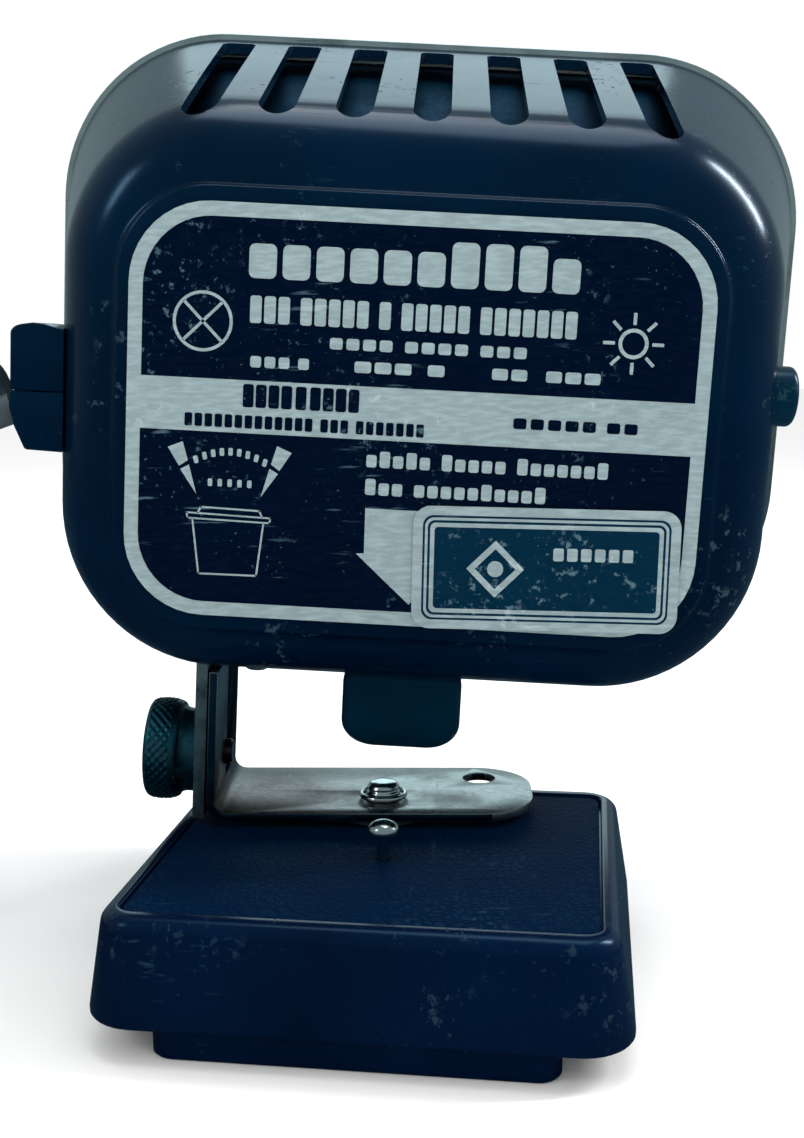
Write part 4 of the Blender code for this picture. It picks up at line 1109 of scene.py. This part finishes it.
def ring_plate(x, z, radius, width, low, high, steps=64, start=0.0, sweep=360.0):
    """A flat ring, or an arc of one, as a closed strip with a rectangular section."""
    turn = np.radians(np.linspace(start, start + sweep, steps, endpoint=sweep < 360))
    r = np.array([radius - width / 2, radius + width / 2, radius + width / 2, radius - width / 2])
    y = np.array([low, low, high, high])
    rows = np.stack([np.stack([x + r * math.cos(a), y, z + r * math.sin(a)], -1) for a in turn])
    return surface("ring", in_head(rows), loop=sweep >= 360, sharp=20)


INK, MARK = (-0.05, 0.02), (-0.09, -0.04)  # depths of the dark print and of what lies on it
foil = rounded_plate("foil_label_plate", 0, 0, 46.7, 33.2, 13, 0.0, 0.55)


def printed_field(near, far, half=44.4, corner=11.0, steps=12):
    """A dark field with square corners at height near and round ones at height far."""
    turn = quarter_turn(steps)
    middle = far - math.copysign(corner, far)
    side = np.stack([half - corner + corner * np.cos(turn), middle + math.copysign(corner, far) * np.sin(turn)], -1)
    return np.vstack([[[half, near]], side, side[::-1] * [-1, 1], [[-half, near]]])


upper_field = plate("upper_field", printed_field(5.5, 30.9), *INK)
lower_field = plate("lower_field", printed_field(-3.0, -30.9), *INK)


def block_row(x_low, x_high, z, height, words, gap, word_gap, tall=()):
    """A row of plain rounded blocks in place of a line of print. words gives how many blocks
    stand in each group, and tall lists the blocks that reach higher."""
    count = sum(words)
    width = (x_high - x_low - gap * (count - len(words)) - word_gap * (len(words) - 1)) / count
    made, x, number = [], x_low, 0
    for group_size in words:
        for _ in range(group_size):
            top = height * (1.32 if number in tall else 1.0)
            made.append(rounded_plate("block", x + width / 2, z + top / 2, width / 2, top / 2,
                                      min(width, height) * 0.22, *MARK, steps=3))
            x, number = x + width + gap, number + 1
        x += word_gap - gap
    return made


light_marks = []
for row in ((-27.6, 24.8, 21.6, 5.4, (10,), 0.95, 1.1, (6, 7, 8)),
            (-27.2, 24.8, 14.6, 4.3, (3, 5, 1, 5, 7), 0.42, 1.7), (-14.3, 17.1, 11.1, 1.8, (4, 4, 3), 0.6, 2.0),
            (-26.9, -17.5, 7.6, 1.8, (3, 1), 0.55, 1.4),
            (-10.2, 4.2, 7.6, 1.8, (3, 1), 0.55, 2.6), (11.8, 29.1, 7.6, 1.8, (2, 3), 0.55, 3.0),
            (-7.6, 31.4, -7.4, 2.0, (5, 5, 7), 0.5, 1.9, (1, 3, 5, 10, 16)),
            (-7.6, 21.6, -11.9, 2.0, (3, 10), 0.5, 1.9, (0, 8, 12))):
    light_marks += block_row(*row)

# A crossed ring is the plain sign for a lamp; a disc with short rays is a sun
light_marks.append(ring_plate(-34.7, 14.5, 4.55, 0.5, *MARK))
for tilt in (45, -45):
    light_marks.append(rounded_plate("bar", -34.7, 14.5, 4.4, 0.24, 0.1, *MARK, turn=math.radians(tilt), steps=2))
light_marks.append(ring_plate(33.9, 14.4, 2.1, 0.6, *MARK))
for ray in range(8):
    a = math.radians(45 * ray)
    light_marks.append(rounded_plate("ray", 33.9 + 3.9 * math.cos(a), 14.4 + 3.9 * math.sin(a), 0.95, 0.27, 0.12,
                                     *MARK, turn=a, steps=2))


def outline_strip(points, width):
    """A drawn line of a given width through the points, as separate straight bars."""
    bars = []
    for (x0, z0), (x1, z1) in zip(points, points[1:]):
        length, turn = math.hypot(x1 - x0, z1 - z0), math.atan2(z1 - z0, x1 - x0)
        bars.append(rounded_plate("bar", (x0 + x1) / 2, (z0 + z1) / 2, length / 2 + width / 2, width / 2, width * 0.2,
                                  *MARK, turn=turn, steps=2))
    return bars


# The pictogram: a lamp head from above, with its wide and narrow beams and the lever's arrow
light_marks += outline_strip([(-36.5, -16.3), (-22.8, -16.6), (-22.9, -17.4), (-36.3, -17.2), (-36.5, -16.3)], 0.28)
light_marks += outline_strip([(-35.5, -17.4), (-34.3, -26.3), (-24.8, -26.2), (-23.9, -17.6)], 0.30)
light_marks += outline_strip([(-34.6, -16.2), (-34.2, -15.3), (-24.6, -15.5), (-24.2, -16.4)], 0.30)
for flip in (1, -1):
    for wedge in ([(-39.8, -5.8), (-37.4, -4.8), (-36.5, -7.8), (-37.9, -8.8)],
                  [(-37.7, -9.3), (-36.3, -8.5), (-35.0, -13.2)]):
        points = np.array(wedge)
        points[:, 0] = -29.75 + flip * (points[:, 0] + 29.75)
        light_marks.append(plate("wedge", points, *MARK))
for count, reach, height, rise in ((9, 5.6, -7.6, 1.5), (5, 3.2, -11.2, 0.0)):
    for t in np.linspace(-1, 1, count):
        light_marks.append(rounded_plate("dot", -29.6 + reach * t, height + rise * (1 - t * t), 0.36, 0.62, 0.2,
                                         *MARK, turn=-t * 0.25 * (rise > 0), steps=2))
light_marks.append(plate("arrow", [(-7.4, -14.1), (-7.3, -21.5), (-8.6, -21.6), (0.4, -29.6), (9.0, -21.6),
                                   (7.6, -21.5), (7.6, -14.1)], *MARK))
dark_marks = []
for row in ((-27.9, -9.2, 1.2, 3.7, (4, 1, 4), 0.35, 0.6), (-37.2, 1.4, -2.2, 2.1, (13, 3, 7), 0.42, 1.3),
            (15.7, 35.6, 0.0, 1.7, (5, 2), 0.7, 1.8)):
    dark_marks += block_row(*row)
print("label marks:", len(light_marks), "light and", len(dark_marks), "dark")

# %% Small stuck-on label
SMALL_X, SMALL_Z, SMALL_TURN = 22.4, -22.6, math.radians(1.7)
SMALL_MARK = (-0.72, -0.66)


def small_plate(half_x, half_z, corner, low, high, name="small"):
    """A plate of the small label, about its middle and turned with it."""
    return rounded_plate(name, SMALL_X, SMALL_Z, half_x, half_z, corner, low, high, SMALL_TURN)


small_foil = small_plate(21.7, 10.1, 2.9, -0.56, -0.3, "small_label_foil")
small_dark = [small_plate(20.1, 8.6, 1.7, -0.60, -0.54), small_plate(18.2, 6.7, 0.6, -0.68, -0.62),
              small_plate(19.3, 7.8, 1.2, -0.64, -0.6)]
small_light = [small_plate(19.75, 8.25, 1.5, -0.62, -0.58), small_plate(18.9, 7.4, 0.9, -0.66, -0.61)]


def on_small(x, z):
    """A place on the small label, from its own middle."""
    x, z = turned(x, z, SMALL_TURN)
    return SMALL_X + x, SMALL_Z + z


# The diamond is a ring of four steps, with its points along the small label's own axes.
symbol = [ring_plate(*on_small(-8.2, 0), 4.0, 1.4, *SMALL_MARK, steps=4, start=math.degrees(SMALL_TURN)),
          rounded_plate("dot", *on_small(-8.2, 0), 1.3, 1.3, 1.25, *SMALL_MARK, steps=8)]
for i in range(6):
    symbol.append(rounded_plate("block", *on_small(2.0 + 2.25 * i, 2.6), 0.85, 1.05, 0.3, *SMALL_MARK, SMALL_TURN, 3))


def foil_finish(name, bright, flake, ink=False):
    """Foil or ink on foil: fine brushed grain, partly painted as lighter glints, stains, scratches and flaked
    patches.
    """
    made, tree, shader = material(name, metallic=0.0 if ink else 0.35)
    if ink:
        shader.inputs["Specular IOR Level"].default_value = 0.3
        shader.inputs["Specular Tint"].default_value = (0.03, 0.2, 0.45, 1)
    stain = mottle_of(tree, 55.0, 5.0, 0.52, 0.75)
    fine = noise(tree, 900.0, 3.0, (0.35, 1, 1.6))
    sparkle = ramp(tree, (fine, "Fac"), 0.42, 0.62)
    toned = blend_colour(tree, (stain, "Result"), bright, tuple(c * (1.3 if ink else 0.85) for c in bright))
    # Painted highlight: glints along the brushed grain lighten the colour.
    glint = math_node(tree, "MULTIPLY", (sparkle, "Result"), 0.10 if ink else 0.30)
    shine = tuple(min(1, c * 1.5 + (0.012 if ink else 0.12)) for c in bright)
    grained = blend_colour(tree, (glint, "Value"), (toned, 2), shine)
    scuffs = use(tree, SCUFFS, Scale=120.0, Spread=0.47)
    specks = use(tree, SPECKS, Scale=520.0, Cover=0.53)
    marks = math_node(tree, "MAXIMUM", (scuffs, "Mask"), (specks, "Mask"))
    weight = math_node(tree, "MULTIPLY", (marks, "Value"), 0.55 if ink else 0.7)
    mixed = blend_colour(tree, (weight, "Value"), (grained, 2), flake)
    finish_with(tree, shader, mixed, 0.34, 0.62, (marks, "Value"))
    bump(tree, shader, (fine, "Fac"), 0.00002, 0.5)
    return made


FOIL = foil_finish("label_foil", (0.35, 0.46, 0.48), (0.60, 0.70, 0.71))
INKED = foil_finish("label_dark_ink", (0.0002, 0.0022, 0.012), (0.10, 0.19, 0.23), ink=True)
SMALL_INK = foil_finish("small_label_ink", (0.001, 0.018, 0.038), (0.14, 0.24, 0.28), ink=True)
fitted(foil, FOIL, "head", "label_plate")
fitted(small_foil, FOIL, "head", "small_label")
for name, layers, finish in (("printed_dark_fields", [upper_field, lower_field], INKED),
                             ("bare_foil_marks", light_marks, FOIL),
                             ("dark_band_marks", dark_marks, INKED), ("small_label_lines", small_light, FOIL),
                             ("small_label_fields", small_dark, SMALL_INK), ("small_label_marks", symbol, FOIL)):
    fitted(joined(name, layers, 20), finish, "head")
print("label pieces fitted, with two foils and six printed layers")

# %% [markdown]
# ## Bracket, plates and thumb screw
#
# The bracket is one strip of steel with a bend at its foot. Its CAD shape is right, so a
# merged copy with rounded edges is enough: the roundings carry the bright lines along the
# edges. The thumb screw has a diamond knurl, cut by two sets of fine spirals.

# %% Bracket
bracket = refined("l_bracket", "bent_bracket", NICKEL, 0.12, "bracket", 2, 28, 24)
work = bmesh.new()
work.from_mesh(bracket.data)
FAR_DEPTH, FAR_HEIGHT = 0.0225, 0.0268  # beyond both, the inside of the leg gets a painted dark reflection
for place, across in (((0, FAR_DEPTH, 0), (0, 1, 0)), ((0, 0, FAR_HEIGHT), (0, 0, 1))):
    everything = work.verts[:] + work.edges[:] + work.faces[:]
    bmesh.ops.bisect_plane(work, geom=everything, dist=1e-6, plane_co=place, plane_no=across)
work.to_mesh(bracket.data)
work.free()
bracket.data.materials.append(DARK_REFLECTION_EDGE)
for polygon in bracket.data.polygons:  # the sheared edges and the far part of the leg get a painted dark reflection
    far_part = polygon.center.z > FAR_HEIGHT and polygon.center.y > FAR_DEPTH and polygon.normal.x > 0.5
    polygon.material_index = int(far_part or abs(polygon.normal.y) > 0.95)
refined("head_plate", "head_plate_steel", EDGE_STEEL, 0.35, "head", 3, 28, 24)


# %% Thumb screw
def knurled(profile, middle, axis, low, high, depth, starts, pitch, steps=352):
    """A lathe whose radius has a diamond knurl between two heights: the mean of two sets of
    spiral ridges, one left-handed and one right-handed, faded at both ends."""
    radius, height = np.asarray(profile, float).T[:, :, None]
    turn, lead = full_turn(steps), height * 2 * math.pi / pitch
    ridge = 0.5 * (np.cos(starts * turn + lead) + np.cos(starts * turn - lead))
    fade = np.clip((height - low) / 0.5, 0, 1) * np.clip((high - height) / 0.5, 0, 1)
    axis, ring = ring_round(axis, steps)
    return np.asarray(middle, float) + height[..., None] * axis + (radius + depth * ridge * fade)[..., None] * ring


rise = np.linspace(0.9, 5.2, 48)
bulge = 9.0 + 0.20 * np.sin((rise - 0.9) / 4.3 * math.pi)
neck = quarter_turn(10)
knob_profile = np.vstack([
    [[0.02, 0.28], [3.5, 0.25], [7.0, 0.1], [7.6, 0.06], [8.3, 0.2], [8.75, 0.5]],
    np.stack([bulge, rise], -1),
    [[8.9, 5.55], [8.7, 5.9]],
    np.stack([8.55 - 0.95 * np.sin(neck), 6.1 + 1.6 * (1 - np.cos(neck))], -1),
    [[7.6, 9.9], [7.3, 10.0], [0.02, 10.0]]])
thumb = surface("knurled_thumb_screw", in_head(knurled(knob_profile, [-46.0, 22.8, -63.2], [1, 0, 0], 0.9, 5.2, 0.13,
                                                       34, 1.5)), sharp=55)
fitted(thumb, DARK_STEEL, "thumb_screw", "thumb_screw")
shank_rings = lathe([(2.3, 0), (2.3, 5.4), (1.9, 5.8)], [-36.4, 22.8, -63.2], [1, 0, 0])
shank = surface("thumb_screw_shank", in_head(shank_rings))
fitted(shank, NICKEL, "thumb_screw")
print("thumb screw:", len(thumb.data.polygons), "faces")

# %% [markdown]
# ## The platform
#
# The platform is a shallow moulded block. Its walls lean outwards and meet the top in a
# generous radius, a rim surrounds a sunk pad with leather grain, and a smaller foot stands
# below. The rounding is drawn as a quarter circle in the loft, because a plain bevel would not
# follow the leaning walls.

# %% Platform block
TOP, BOTTOM = 21.65, 5.2
SCREW_PLACE, PIN_PLACE = (-0.8, 18), (0, -4.9)  # the tripod screw and the locating pin, from above


def block_rings(z, grow, steps=10):
    """The block's outline at heights z: half sizes grow by the splay towards the bottom."""
    z, grow = np.broadcast_arrays(np.atleast_1d(np.asarray(z, float)), np.asarray(grow, float))
    lean = 2.6 * (TOP - z) / (TOP - BOTTOM) + grow
    return lying(outline(39 + lean, -34.6 - lean, 34.6 + lean, 6 + lean, steps), z)


def platform_holes():
    """Cutters for the holes of the tripod screw and the locating pin."""
    return [pin([*place, 10], [*place, 30], radius) for place, radius in ((SCREW_PLACE, 3.4), (PIN_PLACE, 1.2))]


edge = quarter_turn(9)
inside = block_rings([16.2, 14.2, BOTTOM], [-4.0, -2.4, -2.4])
foot_edge = block_rings([BOTTOM, BOTTOM + 0.12, BOTTOM + 0.4, BOTTOM + 0.9], [-0.8, -0.35, -0.1, 0.0])
body_wall = block_rings([8.0, 12.0, 16.0, 19.2], 0.0)
top_edge = block_rings(19.6 + 2.05 * np.sin(edge), -2.0 * (1 - np.cos(edge)))
rim = lying(outline(36.75, -31.55, 31.55, 3.0, 10), [TOP])
well = lying(outline([36.45, 36.3, 36.3], [-31.25, -31.1, -31.1], [31.25, 31.1, 31.1], 2.6, 10),
             [TOP - 0.12, TOP - 0.4, 20.15])
shell_rings = np.concatenate([inside, foot_edge, body_wall, top_edge, rim, well])
shell = surface("platform_moulding", in_base(shell_rings), sharp=40)
shell = carved(shell, platform_holes(), 40)
fitted(shell, MOULDING_BASE, "base", "base_shell")
pad_rings = lying(outline([36.0, 36.0, 35.8, 35.4], [-30.8, -30.8, -30.6, -30.2], [30.8, 30.8, 30.6, 30.2], 2.3, 8),
                  [20.45, 21.1, 21.26, 21.3])
pad = surface("grained_pad", in_base(pad_rings), sharp=50)
pad = carved(pad, platform_holes(), 50)


def pad_finish(name):
    """Black leather cloth: pressed grain with worn, paler ridges and a few light scratches."""
    made, tree, shader = material(name, Specular_IOR_Level=0.03, Specular_Tint=(0.03, 0.3, 0.6, 1))
    grain = use(tree, GRAIN, Scale=760.0)
    patch = mottle_of(tree, 45.0, 4.0, 0.42, 0.72)
    scuffs = use(tree, SCUFFS, Scale=75.0, Spread=0.48)
    specks = use(tree, SPECKS, Scale=600.0, Cover=0.60)
    ridge = ramp(tree, (grain, "Height"), 0.75, 1.3)
    worn = math_node(tree, "MULTIPLY", (ridge, "Result"), (patch, "Result"))
    base = blend_colour(tree, (worn, "Value"), (0.0001, 0.0075, 0.028), (0.0003, 0.016, 0.045))
    marks = math_node(tree, "MAXIMUM", (scuffs, "Mask"), (specks, "Mask"))
    weight = math_node(tree, "MULTIPLY", (marks, "Value"), 0.35)
    mixed = blend_colour(tree, (weight, "Value"), (base, 2), (0.05, 0.10, 0.14))
    finish_with(tree, shader, mixed, 0.62, 0.42, (worn, "Value"))
    bump(tree, shader, (grain, "Height"), 0.00012, 0.8)
    return made


fitted(pad, pad_finish("leather_cloth"), "base", "base_pad")
refined("base_foot", "platform_foot", MOULDING_BASE, 0.25, "base", 3, 50, 40)
refined("arm_washer", "rubber_washer", RUBBER, 0.0, "base")
for i in (1, 2, 3, 4):
    refined(f"foot_screw_{i}", f"foot_screw_steel_{i}", NICKEL, 0.0, "base")
print("platform ready")

# %% [markdown]
# ## Tripod screw and locating pin
#
# The free end of the tripod screw stands through the bracket's arm inside a rolled ring. Its
# thread is a helix in the real screw; rings of the same pitch look the same at this size and
# close up cleanly. The pin is a turned post with a domed head.

# %% Screw
thread_z = np.linspace(14.8, 26.4, 150)
thread_r = 2.88 + 0.17 * np.cos(2 * math.pi * thread_z / 1.27)
chamfer = np.array([(2.75, 26.7), (2.45, 27.1), (2.1, 27.27), (1.2, 27.3), (0.02, 27.3)])
knob_low = np.array([(0.02, 6.9), (8.8, 6.95), (9.6, 7.2), (10.0, 7.7)])
knob_z = np.linspace(7.9, 13.9, 40)
profile = np.vstack([knob_low, np.stack([np.full(40, 10.35), knob_z], -1),
                     [(10.0, 14.3), (9.3, 14.6), (3.0, 14.6)], np.stack([thread_r, thread_z], -1), chamfer])
STRAIGHT = 1e9  # a pitch this long leaves straight ribs
tripod = surface("tripod_screw_steel", as_drawn(knurled(profile, [*SCREW_PLACE, 0], [0, 0, 1], 7.9, 13.9, 0.2, 52,
                                                        STRAIGHT, 416)), sharp=50)
fitted(tripod, CHROME, "tripod_screw", "tripod_screw")
roll = full_turn(20)
ring_profile = np.stack([3.93 + 0.42 * np.cos(roll), 24.95 + 0.48 * np.sin(roll)], -1)
ring = surface("rolled_ring", as_drawn(lathe(ring_profile, [*SCREW_PLACE, 0], [0, 0, 1], 64)), loop=True, sharp=70)
fitted(ring, CHROME, "bracket", "retaining_ring")

# %% Pin and its spring
dome = quarter_turn(10)[::-1]
pin_profile = np.vstack([np.stack([np.maximum(2.6 * np.cos(dome), 0.02), 26.3 + 1.8 * np.sin(dome)], -1),
                         [(2.6, 25.95), (2.4, 25.65), (1.3, 25.45), (1.05, 25.1), (1.05, 21.0), (0.8, 20.9),
                          (0.8, 15.7), (2.4, 15.7), (2.4, 14.6), (0.8, 14.6), (0.8, 10.8), (0.02, 10.8)]])
post = surface("locating_pin_steel", as_drawn(lathe(pin_profile, [*PIN_PLACE, 0], [0, 0, 1], 48)), sharp=50)
fitted(post, CHROME, "locating_pin", "locating_pin")
spring = refined("pin_spring", "pin_spring_wire", CHROME, 0.0, "locating_pin", sharp=60)
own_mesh(spring)
WIRE_JACKET = rubber("wire_jacket", (0.42, 0.40, 0.34), 0.5)
for node_name in ("wire_lamp", "wire_switch"):
    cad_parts[node_name].data.materials.clear()
    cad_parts[node_name].data.materials.append(WIRE_JACKET)
print("screw, ring and pin ready")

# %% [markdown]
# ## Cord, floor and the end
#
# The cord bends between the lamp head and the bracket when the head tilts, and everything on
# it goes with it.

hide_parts("strain_relief")
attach(strain_relief, "head")
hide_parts("plug_body")
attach(plug_body, "bracket")
for i, blade in enumerate(blades):
    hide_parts(f"plug_blade_{i + 1}")
    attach(blade, "bracket")
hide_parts("cord_tie")
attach(tie, "bracket")
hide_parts("power_cord", "cord_coil")
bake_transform(power_cord, "head", "bracket", (-0.0885, 0.0155, 0.0836), (-0.1250, -0.0250, 0.0272))

# %% Floor
floor_mesh = bpy.data.meshes.new("floor")
reach = 3.0
corners = [(-reach, -reach, 0), (reach, -reach, 0), (reach, reach, 0), (-reach, reach, 0)]
floor_mesh.from_pydata(corners, [], [(0, 1, 2, 3)])
floor = bpy.data.objects.new("floor", floor_mesh)
bpy.context.scene.collection.objects.link(floor)
floor_paint, floor_tree, floor_shader = material("pale_floor", Roughness=0.9, Specular_IOR_Level=0.1)
floor_shader.inputs["Base Color"].default_value = (0.91, 0.91, 0.91, 1)
dark_floor = floor_tree.nodes.new("ShaderNodeBsdfDiffuse")
dark_floor.inputs["Color"].default_value = (0.03, 0.06, 0.08, 1)
seen_and_mirrored(floor_tree, floor_shader, dark_floor, floor_tree.nodes["Material Output"])
floor_mesh.materials.append(floor_paint)

for node_name, node_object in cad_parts.items():
    if not node_object.hide_render:
        print("kept CAD node:", node_name)
